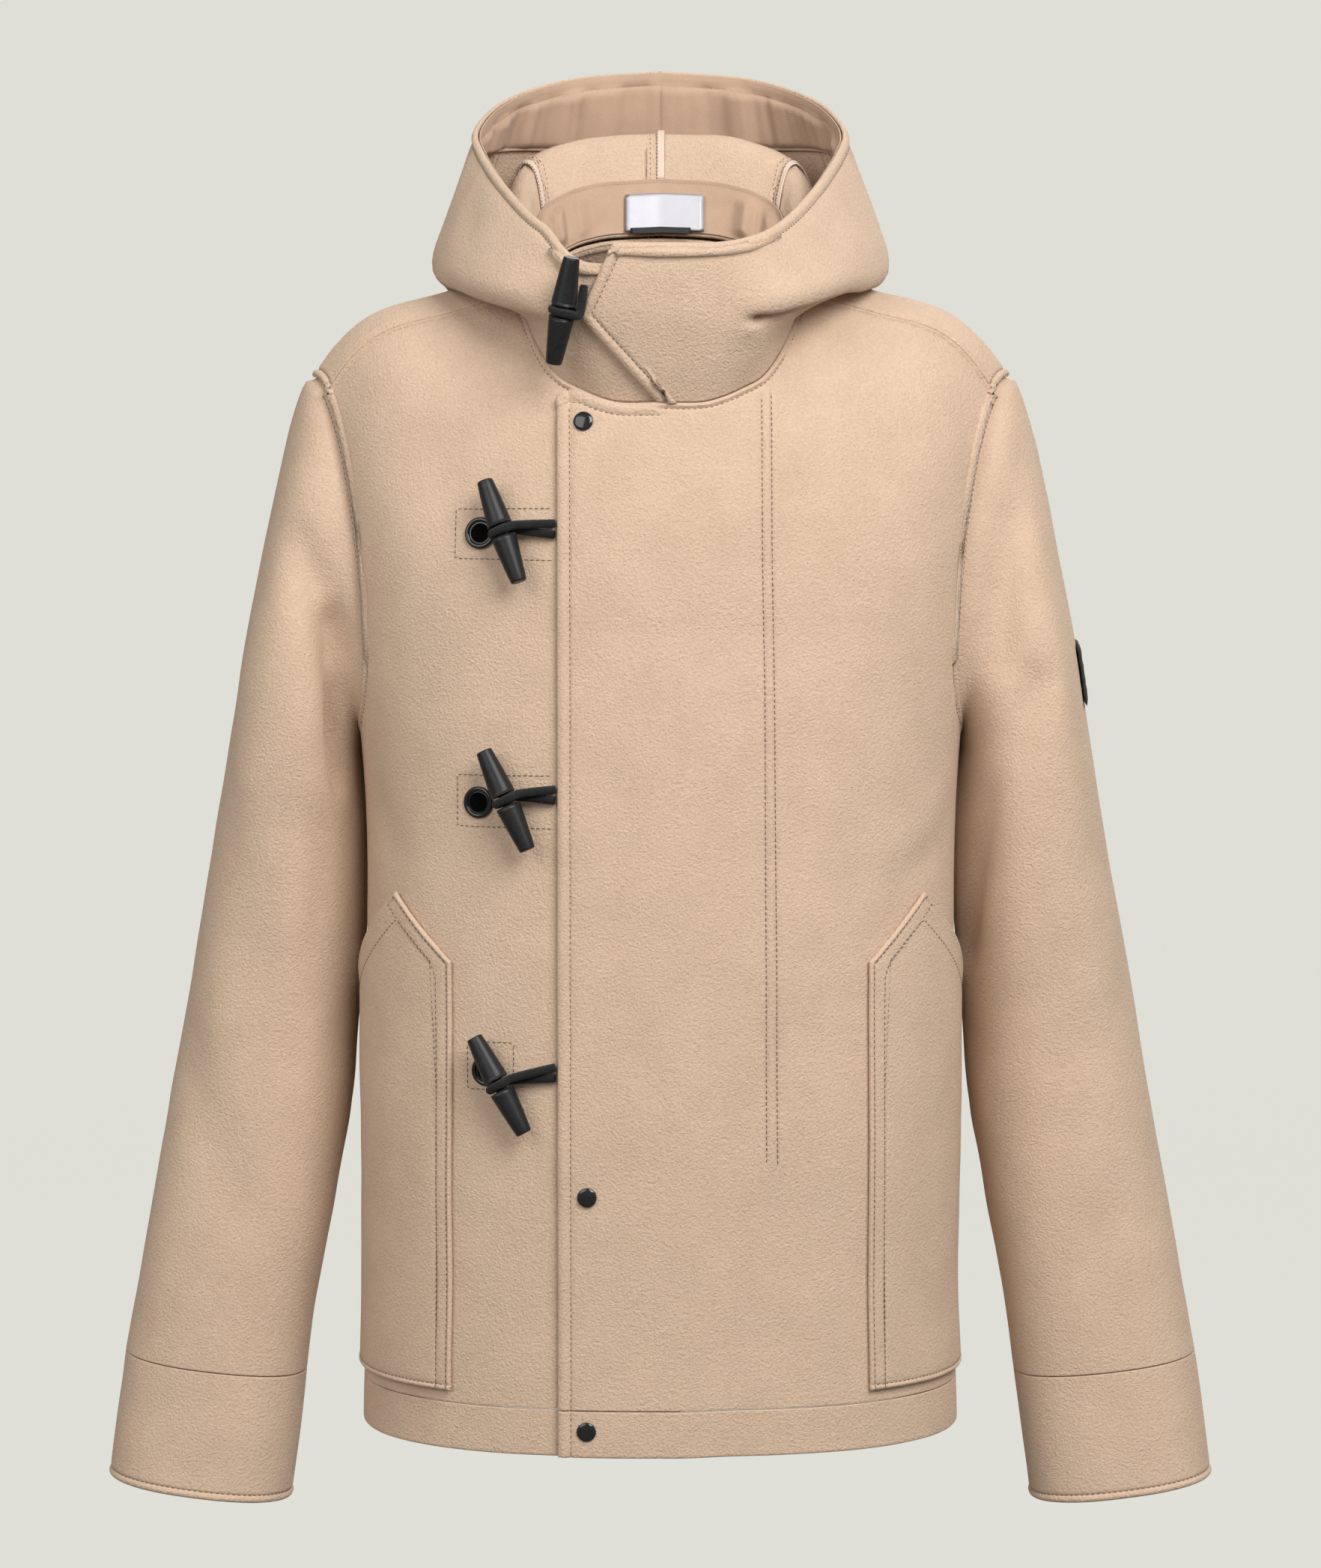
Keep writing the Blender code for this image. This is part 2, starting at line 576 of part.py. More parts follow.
def collar_angle(level):
    """Angle at which the free edge of the left collar flap lies at this level."""
    low, high = -45.0, 5.0
    for _ in range(40):
        middle = (low + high) / 2
        p = hood_point(middle, level)
        edge = np.interp(p[2], [r[0] for r in COLLAR_EDGE], [r[1] for r in COLLAR_EDGE])
        low, high = (middle, high) if p[0] < edge else (low, middle)
    return (low + high) / 2


def hood_wall(name, columns, looks, out=0.0, thick=WALL, levels=HOOD_LEVELS, right_front=False,
              collar=False):
    """columns is a list of angles, or a function of the level that gives them."""
    outer, inner = [], []
    for level in levels:
        angles = columns(level) if callable(columns) else columns
        out_row, in_row = [], []
        for a in angles:
            top = rim_level(a) if right_front else 1.0
            p, n = hood_frame(a, level * top)
            up = hood_point(a, 0.02) - hood_point(a, 0.0)
            p = p + up / np.linalg.norm(up) * SEAM_GAP * (1.0 - smooth_step(level / 0.03))
            if collar:
                p = p + FORWARD * flap_lift(p)
            out_row.append(p + n * out)
            in_row.append(p + n * (out - thick))
        outer.append(out_row)
        inner.append(in_row)
    return wall_of(name, outer, inner, looks)


SIDE_ANGLES = (20, 31, 42, 48.5, 55, 62, 69, 80, 87, 97, 110, 121, 128.4)
BACK_ANGLES = (135.6, 147, 164, 175.4)
ANGLE_GAP = 0.09        # half the seam gap, as an angle


def make_hood(wool, jersey, tape):
    seam = HOOD_SEAM - ANGLE_GAP
    right = [-seam] + [-a for a in reversed(SIDE_ANGLES)] + [-10, 0, HOOD_UNDER]
    hood_wall("hood_side_right", right, wool, right_front=True)

    def left(level):
        edge = collar_angle(level)
        front = [edge, edge / 2, 10]
        return front + list(SIDE_ANGLES) + [seam]

    hood_wall("hood_side_left", left, wool, collar=True)
    back = [HOOD_SEAM + ANGLE_GAP] + list(BACK_ANGLES) + [180 - ANGLE_GAP]
    hood_wall("hood_back_left", back, wool)
    hood_wall("hood_back_right", [-a for a in reversed(back)], wool)

    inside = -WALL - SEAM_GAP
    facing_sides = [a for a in SIDE_ANGLES if a > 45]
    ring = facing_sides + [HOOD_SEAM] + list(BACK_ANGLES) + [180]
    ring += [360 - a for a in reversed(ring[:-1])]
    hood_wall("hood_rim_facing", ring, jersey, inside, THIN, levels=(0.90, 0.997))
    neck_ring = [a for a in ring if 96 < a < 264]
    hood_wall("neck_facing", neck_ring, jersey, inside, THIN, levels=(0.004, 0.04, 0.076))
    for name, middle in (("left", HOOD_SEAM), ("middle", 180), ("right", 360 - HOOD_SEAM)):
        half = 4.6 if name == "middle" else 3.6
        hood_wall(f"hood_tape_{name}", [middle - half, middle, middle + half], tape, inside - 0.0003, THIN,
                  levels=(0.08, 0.115, 0.15, 0.19, 0.24, 0.31))


def make_neck_label(cloth, dark):
    inside = -WALL - 2 * SEAM_GAP - THIN - 0.0003
    hood_wall("neck_label", [169, 171, 180, 189, 190], cloth, inside, 0.0006, levels=(0.014, 0.04, 0.062))
    hood_wall("neck_tab", [172, 180, 187], dark, inside, 0.0006, levels=(0.003, 0.011))


# ---- pockets --------------------------------------------------------------------------------------------------
def pocket_top(angle):
    if angle <= POCKET_APEX:
        share = (angle - POCKET_ANGLES[0]) / (POCKET_APEX - POCKET_ANGLES[0])
        return POCKET_FRONT_TOP + (POCKET_APEX_TOP - POCKET_FRONT_TOP) * share
    share = (angle - POCKET_APEX) / (POCKET_ANGLES[-1] - POCKET_APEX)
    return POCKET_APEX_TOP + (POCKET_BACK_TOP - POCKET_APEX_TOP) * share


def make_pockets(wool):
    shares = (0.0, 0.25, 0.5, 0.72, 0.88, 1.0)
    for name, side in (("pocket_left", 1), ("pocket_right", -1)):
        outer, inner = [], []
        for share in shares:
            out_row, in_row = [], []
            for a in POCKET_ANGLES:
                z = POCKET_BOTTOM + (pocket_top(a) - POCKET_BOTTOM) * share
                angle = side * math.radians(a)
                p, n = level_point(angle, z), body_normal(angle, z - CHEST_Z)
                mouth = math.sin(math.pi * smooth_step((a - 46) / 58)) * smooth_step((share - 0.4) / 0.6)
                gap = POCKET_LIFT + POCKET_PUFF * mouth
                out_row.append(p + n * (gap + WALL))
                in_row.append(p + n * gap)
            outer.append(out_row)
            inner.append(in_row)
        wall_of(name, outer, inner, wool)


# ---- hardware --------------------------------------------------------------------------------------------------
def turned(name, profile, sides, point, out, up, looks):
    """Turns a profile of (radius, distance along) about the axis out. up only says where the corners start."""
    out, up = out / np.linalg.norm(out), up - out * np.dot(up, out)
    up = up / np.linalg.norm(up)
    across = np.cross(up, out)
    points, faces = [], []
    for radius, along in profile:
        for k in range(sides):
            a = 2 * math.pi * k / sides
            points.append(point + out * along + (across * math.cos(a) + up * math.sin(a)) * radius)
    for i in range(len(profile) - 1):
        for k in range(sides):
            a, b = i * sides + k, i * sides + (k + 1) % sides
            faces.append((a, b, b + sides, a + sides))
    faces.append(tuple(range(sides)))
    faces.append(tuple((len(profile) - 1) * sides + k for k in range(sides)))
    return add_object(name, points, faces, looks)


def toggle_profile():
    half = TOGGLE_LENGTH / 2
    one = [(TOGGLE_END - TOGGLE_ROUND, half), (TOGGLE_END, half - TOGGLE_ROUND),
           (TOGGLE_END + 0.58 * (TOGGLE_WIDE - TOGGLE_END), half * 0.50),
           (TOGGLE_WIDE, GROOVE_HALF + GROOVE_BEVEL), (TOGGLE_WIDE - GROOVE_BEVEL, GROOVE_HALF),
           (GROOVE_RADIUS, GROOVE_HALF - GROOVE_BEVEL)]
    return [(r, -a) for r, a in one] + [(r, a) for r, a in reversed(one)]


def lean_axis(lean, out):
    """Direction of a toggle's top: upright on the cloth, leaned by this many degrees to the wearer's right."""
    tilt = math.radians(lean)
    axis = np.array([-math.sin(tilt), 0.0, math.cos(tilt)])
    axis = axis - out * np.dot(axis, out)
    return axis / np.linalg.norm(axis)


def smooth_path(controls, count):
    keys = [0.0]
    for i in range(1, len(controls)):
        keys.append(keys[-1] + float(np.linalg.norm(controls[i] - controls[i - 1])) ** 0.5)
    return [curve_through(keys, controls, keys[-1] * i / (count - 1)) for i in range(count)]


def make_cord(name, path, looks):
    curve = bpy.data.curves.new(name, "CURVE")
    curve.dimensions = "3D"
    curve.bevel_depth = CORD_RADIUS
    curve.bevel_resolution = 2
    curve.use_fill_caps = True
    spline = curve.splines.new("POLY")
    spline.points.add(len(path) - 1)
    for point, place in zip(spline.points, path):
        point.co = (*place, 1.0)
    curve.materials.append(looks)
    made = bpy.data.objects.new(name, curve)
    bpy.context.collection.objects.link(made)
    return made


def loop_controls(middle, axis, out, ends):
    """A cord from the first end, over the toggle's groove, round it and back under it to the second end."""
    toward = np.cross(axis, out)
    if toward[0] < 0:
        toward = -toward
    r = LOOP_RADIUS
    first, last = ends
    over = [middle + (toward * 1.7 + out * 0.2) * r, middle + (toward * 0.7 + out) * r]
    round_it = [middle + toward * r * math.cos(a) + out * r * math.sin(a)
                for a in (math.radians(d) for d in (90, 135, 180, 225, 270))]
    under = middle + (toward * 0.7 - out * 1.05) * r
    return [first] + over + round_it + [under, last]


def make_toggles(black, cord, metal):
    for name, x, z, lean, eye_x, eye_z, cord_a, cord_b in TOGGLES:
        base, out = front_frame(x, z)
        middle = base + out * TOGGLE_STAND
        axis = lean_axis(lean, out)
        turned(f"toggle_{name}", toggle_profile(), 12, middle, axis, out, black)
        ends = []
        for height in (cord_a, cord_b):
            p, n = front_frame(FLAP_X - 2 * SEAM_GAP, height)
            ends.append(p + n * (CORD_RADIUS + 0.0005))
        make_cord(f"cord_{name}", smooth_path(loop_controls(middle, axis, out, ends), 26), cord)
        base, out = front_frame(eye_x, eye_z)
        rim = [(EYELET_OUTER, LAID), (EYELET_OUTER, 2 * LAID), (EYELET_OUTER - EYELET_ROUND, EYELET_HIGH),
               (EYELET_INNER + EYELET_ROUND, EYELET_HIGH), (EYELET_INNER, EYELET_HIGH - EYELET_ROUND),
               (EYELET_INNER - EYELET_ROUND / 2, EYELET_HIGH / 2)]
        turned(f"eyelet_{name}", rim, 16, base, out, np.array([0, 0, 1.0]), metal)


def make_collar_toggle(black, cord):
    x, z, lean = COLLAR_TOGGLE
    angle, level = collar_place(x, z)
    p, out = hood_frame(angle, level)
    middle = p + out * TOGGLE_STAND
    axis = lean_axis(lean, out)
    turned("toggle_collar", toggle_profile(), 12, middle, axis, out, black)
    ends = []
    for height in COLLAR_CORDS:
        edge_x = float(np.interp(height, [r[0] for r in COLLAR_EDGE], [r[1] for r in COLLAR_EDGE]))
        p, n = hood_frame(*collar_place(edge_x - CORD_START, height))
        ends.append(p + n * (CORD_RADIUS + 0.0006))
    make_cord("cord_collar", smooth_path(loop_controls(middle, axis, out, ends), 26), cord)


def collar_place(x, z):
    """Angle and level of the hood's front surface at a place seen from the front."""
    angle, level = -30.0, 0.5
    for _ in range(60):
        p = hood_point(angle, level)
        angle += (x - p[0]) * 380
        level += (z - p[2]) * 4.0
    return angle, level


def make_snaps(gloss):
    for name, x, z in SNAPS:
        base, out = front_frame(x, z)
        base = base + FORWARD * flap_lift(base) + out * LAID
        dome = [(SNAP_RADIUS, 0.0), (SNAP_RADIUS, 0.35 * SNAP_HIGH), (SNAP_RADIUS * 0.88, SNAP_HIGH * 0.75),
                (SNAP_RADIUS * 0.45, SNAP_HIGH)]
        turned(f"snap_{name}", dome, 14, base, out, np.array([0, 0, 1.0]), gloss)


def main():
    for old in list(bpy.data.objects):
        bpy.data.objects.remove(old)
    wool = material("felted_wool", WOOL, 0.95)
    jersey = material("smooth_facing", JERSEY, 0.8)
    tape = material("seam_tape", TAPE, 0.6)
    black = material("satin_black", BLACK, 0.38)
    cord = material("braided_cord", BLACK, 0.85)
    metal = material("black_metal", BLACK, 0.3, 0.8)
    gloss = material("gloss_black", BLACK, 0.12)
    label = material("label_white", (0.75, 0.75, 0.78), 0.5)
    make_panels(wool)
    make_sleeves(wool, cord)
    make_hood(wool, jersey, tape)
    make_neck_label(label, cord)
    make_pockets(wool)
    make_toggles(black, cord, metal)
    make_collar_toggle(black, cord)
    make_snaps(gloss)


main()
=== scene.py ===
import math

import bpy
import numpy as np
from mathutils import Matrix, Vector, noise


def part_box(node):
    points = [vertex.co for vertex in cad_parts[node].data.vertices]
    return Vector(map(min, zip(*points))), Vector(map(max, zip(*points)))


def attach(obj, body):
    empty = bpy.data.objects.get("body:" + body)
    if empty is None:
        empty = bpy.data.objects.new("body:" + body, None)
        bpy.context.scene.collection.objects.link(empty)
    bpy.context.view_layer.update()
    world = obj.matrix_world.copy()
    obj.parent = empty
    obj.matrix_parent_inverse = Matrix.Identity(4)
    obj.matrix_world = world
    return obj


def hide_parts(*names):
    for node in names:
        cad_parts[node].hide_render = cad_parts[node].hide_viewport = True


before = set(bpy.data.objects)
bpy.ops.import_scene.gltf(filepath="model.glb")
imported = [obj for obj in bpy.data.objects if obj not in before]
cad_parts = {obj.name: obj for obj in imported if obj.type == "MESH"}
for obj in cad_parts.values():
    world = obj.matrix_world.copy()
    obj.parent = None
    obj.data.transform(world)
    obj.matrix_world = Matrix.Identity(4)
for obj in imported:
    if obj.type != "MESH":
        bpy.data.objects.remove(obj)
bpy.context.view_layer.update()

print("frame loaded:", len(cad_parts), "nodes")

# the camera stands where the photograph was taken from
camera = {"lens": 120.71, "sensor": 36.0, "place": (0.0, -3.28744, -0.016387), "tilt": 85.0}


def makeCamera():
    data = bpy.data.cameras.new("camera")
    data.lens, data.sensor_width = camera["lens"], camera["sensor"]
    data.clip_end = 60
    made = bpy.data.objects.new("camera", data)
    made.location = camera["place"]
    made.rotation_euler = (math.radians(camera["tilt"]), 0, 0)
    bpy.context.collection.objects.link(made)
    bpy.context.scene.camera = made


makeCamera()
print("camera set")

# ---- sums that every piece of cloth uses

cloth = {"wall": 0.003, "gap": 0.0003, "thin": 0.001, "sewn": 0.16}      # metres; rounding of a sewn edge as a share
forward = np.array([0.0, -1.0, 0.0])


def smoothStep(value):
    value = np.clip(value, 0.0, 1.0)
    return value * value * (3.0 - 2.0 * value)


def curveThrough(keys, values, at):      # keys rise; values holds a number or an array for each key; at may be an array
    keys, values, at = np.asarray(keys, float), np.asarray(values, float), np.asarray(at, float)
    at = np.clip(at, keys[0], keys[-1])
    k = np.clip(np.searchsorted(keys, at, side="right") - 1, 0, len(keys) - 2)
    index = np.arange(len(keys))
    low, high = np.maximum(index - 1, 0), np.minimum(index + 1, len(keys) - 1)
    more = (1,) * (values.ndim - 1)
    slope = (values[high] - values[low]) / (keys[high] - keys[low]).reshape(-1, *more)
    span = (keys[k + 1] - keys[k]).reshape((*at.shape, *more))
    t = (at - keys[k]).reshape((*at.shape, *more)) / span
    return ((2 * t**3 - 3 * t**2 + 1) * values[k] + (t**3 - 2 * t**2 + t) * span * slope[k]
            + (3 * t**2 - 2 * t**3) * values[k + 1] + (t**3 - t**2) * span * slope[k + 1])


def lengths(points, axis):      # distance run along each grid line from its start
    step = np.linalg.norm(np.diff(points, axis=axis), axis=-1)
    run = np.cumsum(step, axis=axis)
    first = np.zeros_like(run.take([0], axis=axis))
    return np.concatenate([first, run], axis=axis)


def normalsOf(points, around=False):
    if around:
        across = np.roll(points, -1, axis=1) - np.roll(points, 1, axis=1)
    else:
        across = np.gradient(points, axis=1)
    along = np.gradient(points, axis=0)
    n = np.cross(across, along)
    return n / np.maximum(np.linalg.norm(n, axis=-1, keepdims=True), 1e-12)


def lineDistance(points, line):      # distance from each point to a polyline
    flat = points.reshape(-1, 3)
    best = np.full(len(flat), 1e9)
    for a, b in zip(line[:-1], line[1:]):
        ab = b - a
        t = np.clip((flat - a) @ ab / max(ab @ ab, 1e-15), 0, 1)
        best = np.minimum(best, np.linalg.norm(flat - a - t[:, None] * ab, axis=1))
    return best.reshape(points.shape[:-1])


def shareAlong(points, line):      # distance to a polyline, and how far along it the nearest place is, from 0 to 1
    flat = points.reshape(-1, 3)
    best, share = np.full(len(flat), 1e9), np.zeros(len(flat))
    for i, (a, b) in enumerate(zip(line[:-1], line[1:])):
        ab = b - a
        t = np.clip((flat - a) @ ab / max(ab @ ab, 1e-15), 0, 1)
        d = np.linalg.norm(flat - a - t[:, None] * ab, axis=1)
        share = np.where(d < best, (i + t) / (len(line) - 1), share)
        best = np.minimum(best, d)
    return best.reshape(points.shape[:-1]), share.reshape(points.shape[:-1])


def addLines(params, surface, side, distances):      # grid lines at these distances from one side, in place of those that are there
    turn = {"low": lambda a: a, "high": lambda a: a[::-1], "left": lambda a: a.swapaxes(0, 1),
            "right": lambda a: a.swapaxes(0, 1)[::-1]}[side]
    back = {"low": lambda a: a, "high": lambda a: a[::-1], "left": lambda a: a.swapaxes(0, 1),
            "right": lambda a: a[::-1].swapaxes(0, 1)}[side]
    work, run = turn(params), lengths(turn(surface(params)), 0)
    distances = np.concatenate([[0.0], distances])
    fresh = np.empty((len(distances), work.shape[1], work.shape[2]))
    for j in range(work.shape[1]):
        for c in range(work.shape[2]):
            fresh[:, j, c] = np.interp(distances, run[:, j], work[:, j, c])
    keep = run.mean(axis=1) > distances[-1] + 0.0012
    return back(np.concatenate([fresh, work[keep]]))


edgeLines = [0.00025, 0.0007, 0.0014, 0.0026]


def stitchedEdge(*stitches, fine=0.0009):      # distances of the grid lines for an edge with rows of stitches at these distances
    lines = list(edgeLines)
    for s in stitches:
        lines += [s - 1.8 * fine, s - fine, s - 0.45 * fine, s, s + 0.45 * fine, s + fine, s + 1.8 * fine]
    for k in range(1, int(max(stitches) / 0.0016)):
        d = 0.0026 + 0.0016 * k
        if min(abs(d - x) for x in lines) > 0.0007 and d < max(stitches):
            lines.append(d)
    return np.array(sorted(x for x in lines if x > 0.0002))


def addMesh(name, points, quads, looks):
    mesh = bpy.data.meshes.new(name)
    points, quads = np.asarray(points, float), np.asarray(quads, int)
    mesh.vertices.add(len(points))
    mesh.vertices.foreach_set("co", points.ravel())
    mesh.loops.add(quads.size)
    mesh.loops.foreach_set("vertex_index", quads.ravel())
    mesh.polygons.add(len(quads))
    mesh.polygons.foreach_set("loop_start", np.arange(0, quads.size, quads.shape[1]))
    mesh.polygons.foreach_set("loop_total", np.full(len(quads), quads.shape[1]))
    mesh.update(calc_edges=True)
    mesh.validate()
    mesh.shade_smooth()
    mesh.materials.append(looks)
    made = bpy.data.objects.new(name, mesh)
    bpy.context.collection.objects.link(made)
    return made


def shell(name, outer, normals, thick, looks, around=False, sewn=()):      # a closed sheet with round edges: its outer face, its inner face, and one shared line at each edge
    rows, columns = outer.shape[:2]
    t = np.ones((rows, columns))
    for side in ("low", "high") + (() if around else ("left", "right")):
        axis = 0 if side in ("low", "high") else 1
        radius = thick * (cloth["sewn"] if side in sewn else 0.5)
        run = lengths(outer, axis)
        if side in ("high", "right"):
            run = run.take([-1], axis=axis) - run
        t = np.minimum(t, np.sqrt(np.clip(1 - (1 - np.minimum(run, radius) / radius) ** 2, 0, 1)))
    t = t[..., None]
    middle = outer - normals * thick / 2
    face, back = middle + normals * t * thick / 2, middle - normals * t * thick / 2
    index = np.arange(rows * columns).reshape(rows, columns)
    far = index + rows * columns
    edge = np.zeros((rows, columns), bool)
    edge[0], edge[-1] = True, True
    if not around:
        edge[:, 0], edge[:, -1] = True, True
    far = np.where(edge, index, far)
    if around:
        index, far = np.hstack([index, index[:, :1]]), np.hstack([far, far[:, :1]])
    def cells(g, flip):
        q = np.stack([g[:-1, :-1], g[:-1, 1:], g[1:, 1:], g[1:, :-1]], axis=-1).reshape(-1, 4)
        return q[:, ::-1] if flip else q
    quads = np.concatenate([cells(index, False), cells(far, True)])
    points = np.concatenate([face.reshape(-1, 3), back.reshape(-1, 3)])
    used = np.unique(quads)
    renumber = np.full(len(points), -1)
    renumber[used] = np.arange(len(used))
    return addMesh(name, points[used], renumber[quads], looks)


def rolling(points, size, height, seed):      # slow unevenness of the cloth
    flat = points.reshape(-1, 3) / size + seed
    values = np.array([noise.noise(Vector(p)) for p in flat])
    return values.reshape(points.shape[:-1]) * height


# folds given one by one: two ends, half width and height, in millimetres; a height below zero is a hollow
folds = [
    # the chest and the sides
    ((-165, -92, -70), (-118, -118, -128), 24, -3.6),
    ((-165, -85, -120), (-150, -100, -175), 22, 1.4),
    ((150, -100, -70), (115, -120, -110), 24, -2.2),
    ((178, -70, -335), (150, -100, -352), 11, -2.2),
    ((182, -60, -300), (160, -95, -328), 14, 1.6),
    ((-184, -55, -300), (-165, -85, -335), 15, -1.6),
    ((60, -140, -560), (120, -125, -600), 30, -1.2),
    ((-90, -135, -580), (-120, -128, -640), 26, 1.0),
    # behind
    ((-90, 115, -160), (-165, 85, -240), 26, -3.0),
    ((90, 115, -165), (165, 85, -235), 26, -3.0),
    ((-60, 128, -330), (60, 129, -345), 30, -2.5),
    ((-110, 118, -470), (40, 130, -500), 34, -2.0),
    ((100, 120, -380), (20, 130, -430), 28, 1.8),
]


def foldsAt(points, rows):
    height = np.zeros(points.shape[:-1])
    for a, b, width, rise in rows:
        d, share = shareAlong(points, np.array([a, b], float) / 1000)
        ends = 0.55 + 0.45 * np.sin(np.pi * share)
        height += rise / 1000 * ends * np.exp(-(d * 1000 / width) ** 2)
    return height


# ---- the body's surface, from the same sizes as the frame

body = {
    "rows": [(-0.710, 0.1875, 0.1380, 0.1345), (-0.620, 0.1850, 0.1395, 0.1315), (-0.520, 0.1845, 0.1408, 0.1285),
             (-0.420, 0.1840, 0.1402, 0.1270), (-0.330, 0.1845, 0.1385, 0.1285), (-0.265, 0.1880, 0.1362, 0.1300),
             (-0.200, 0.1950, 0.1320, 0.1280)],                    # level, half width, front, back
    "ridge": [(0.0000, 0.0620), (0.0300, 0.0580), (0.0500, 0.0480), (0.0650, 0.0350), (0.0785, 0.0240),
              (0.0950, 0.0165), (0.1356, 0.0035), (0.1698, -0.0056), (0.1883, -0.0156), (0.2041, -0.0304),
              (0.2149, -0.0443), (0.2220, -0.0520)],               # distance from the centre, height
    "neck": [(0, 0.0000, 31.5), (20, 0.0300, 32.3), (42, 0.0550, 37.5), (55, 0.0670, 43.3), (69, 0.0765, 52.3),
             (80, 0.0812, 61.5), (87, 0.0830, 69.0), (97, 0.0826, 78.0), (110, 0.0805, 90.0),
             (128, 0.0735, 102.0), (145, 0.0570, 111.0), (162, 0.0310, 117.5), (180, 0.0000, 119.6)],
    "chest": -0.200, "armpit": -0.265, "band": -0.674, "hem": -0.703, "shape": 2.5,
    "armhole": 0.184, "flare": 0.20, "seamTurn": math.radians(69.0),
    "flapEdge": -0.0625, "flapTop": -0.0588, "flapSquare": 0.035, "under": 0.012, "lift": 0.0046,
    "spacing": 0.0052,
}
sideAngle = math.radians(90) - 2.0e-4
keepAngle = math.radians(26.0)


def bodySection(z):
    rows = np.array(body["rows"])
    found = curveThrough(rows[:, 0], rows[:, 1:], z)
    return found[..., 0], found[..., 1], found[..., 2]


def ridgeHeight(x):
    rows = np.array(body["ridge"])
    return curveThrough(rows[:, 0], rows[:, 1], x)


def levelPoint(angle, z):
    half, front, behind = bodySection(z)
    s, c, power = np.sin(angle), np.cos(angle), 2.0 / body["shape"]
    depth = np.where(c > 0, front, behind)
    return np.stack([np.sign(s) * np.abs(s) ** power * half, -np.sign(c) * np.abs(c) ** power * depth,
                     z + 0 * angle], axis=-1)


def columnAt(angle):
    s = np.sin(angle)
    return np.sign(s) * np.abs(s) ** (2.0 / body["shape"]) * bodySection(np.array(body["chest"]))[0]


def angleOf(x, z=None):
    half = bodySection(np.asarray(body["chest"] if z is None else z, float))[0]
    return np.sign(x) * np.arcsin(np.clip((np.abs(x) / half) ** (body["shape"] / 2.0), 0, 1))


armAngle = float(angleOf(np.array(body["armhole"])))


def shoulderPoint(column, turn):
    half, front, behind = (float(v) for v in bodySection(np.array(body["chest"])))
    across = np.abs(column)
    tip = across * (1.0 + body["flare"] * (across / body["armhole"]) ** 2)
    ahead = turn < math.pi / 2
    depth = np.where(ahead, front, behind) * np.clip(1 - (across / half) ** body["shape"], 0, 1) ** (1 / body["shape"])
    square = np.where(ahead, 2.0, 3.0 - 0.8 * across / body["armhole"])
    out = np.abs(np.cos(turn)) ** (2.0 / square)
    up = np.clip(np.sin(turn), 0, 1) ** (2.0 / square)
    x = across + (tip - across) * (1.0 - out) ** 0.8
    return np.stack([np.copysign(x, column), np.copysign(depth * out, -np.cos(turn)),
                     body["chest"] + (ridgeHeight(tip) - body["chest"]) * up], axis=-1)


def bodyPoint(angle, rise):
    low = levelPoint(angle, body["chest"] + np.minimum(rise, 0))
    turn = np.where(np.cos(angle) < 0, math.pi - rise, rise)
    high = shoulderPoint(columnAt(angle), turn)
    return np.where((rise > 0)[..., None], high, low)


def flapLift(x):
    return body["lift"] * smoothStep((body["under"] + 0.036 - x) / 0.036)


def neckAt(angle):
    rows = np.array(body["neck"])
    found = curveThrough(rows[:, 0], rows[:, 1:], np.abs(angle))
    return np.copysign(found[..., 0], np.where(angle == 0, 1.0, angle)), np.radians(found[..., 1])


def squeezed(angle, step):
    end = sideAngle - (sideAngle - armAngle) * np.cos(np.radians(step))
    size = np.abs(angle)
    moved = keepAngle + (size - keepAngle) * (end - keepAngle) / (sideAngle - keepAngle)
    return np.copysign(np.where(size <= keepAngle, size, moved), angle)


def evenAngles(first, last, spacing):      # angles at even distances round the chest
    fine = np.linspace(first, last, 600)
    run = lengths(levelPoint(fine, np.full(600, body["chest"])), 0)
    count = max(2, int(round(run[-1] / spacing)) + 1)
    return np.interp(np.linspace(0, run[-1], count), run, fine)


def bodyRows(low, high, spacing, upper):      # (rise below the chest, quarter step, share of the turn) of each row
    count = max(2, int(round((high - low) / spacing)) + 1)
    rows = [(z - body["chest"], 90.0, 0.0) for z in np.linspace(low, high, count)]
    if upper:
        steps = np.linspace(90, 0, 15)[1:]
        rows += [((body["armpit"] - body["chest"]) * math.sin(math.radians(s)), s, 0.0) for s in steps]
        rows += [(0.0, 0.0, s) for s in np.linspace(0, 1, upper)[1:]]
    return np.array(rows)


def panelParams(columns, tops, rows):      # columns are angles at chest level, from -90 to 90 degrees; tops are the turns at which they end
    x = columnAt(columns)
    z = body["chest"] + rows[:, 0]
    level = np.clip(z, -1, body["chest"])
    straight = angleOf(np.where(np.abs(x) < 0.15, x, 0.15)[None, :], level[:, None])
    mix = smoothStep((np.abs(x) - 0.10) / 0.04)[None, :]
    angle = straight * (1 - mix) + columns[None, :] * mix
    angle = squeezed(angle, rows[:, 1][:, None])
    rise = rows[:, 0][:, None] + tops[None, :] * rows[:, 2][:, None]
    return np.stack([angle, rise], axis=-1)


def neckTurns(columns, behind):      # the turn at which each column meets the neckline or the shoulder seam
    angles = np.linspace(180, 87, 200) if behind else np.linspace(0, 87, 200)
    across, turn = neckAt(angles)
    x = np.abs(columnAt(columns))
    found = np.interp(x, across, turn)
    return np.where(x < across.max(), found, body["seamTurn"])


def bodySurface(lifted=False, turned=False):
    def surface(params):
        angle = math.pi - params[..., 0] if turned else params[..., 0]
        points = bodyPoint(angle, params[..., 1])
        if lifted:
            points = points + forward * flapLift(points[..., 0])[..., None]
        return points
    return surface


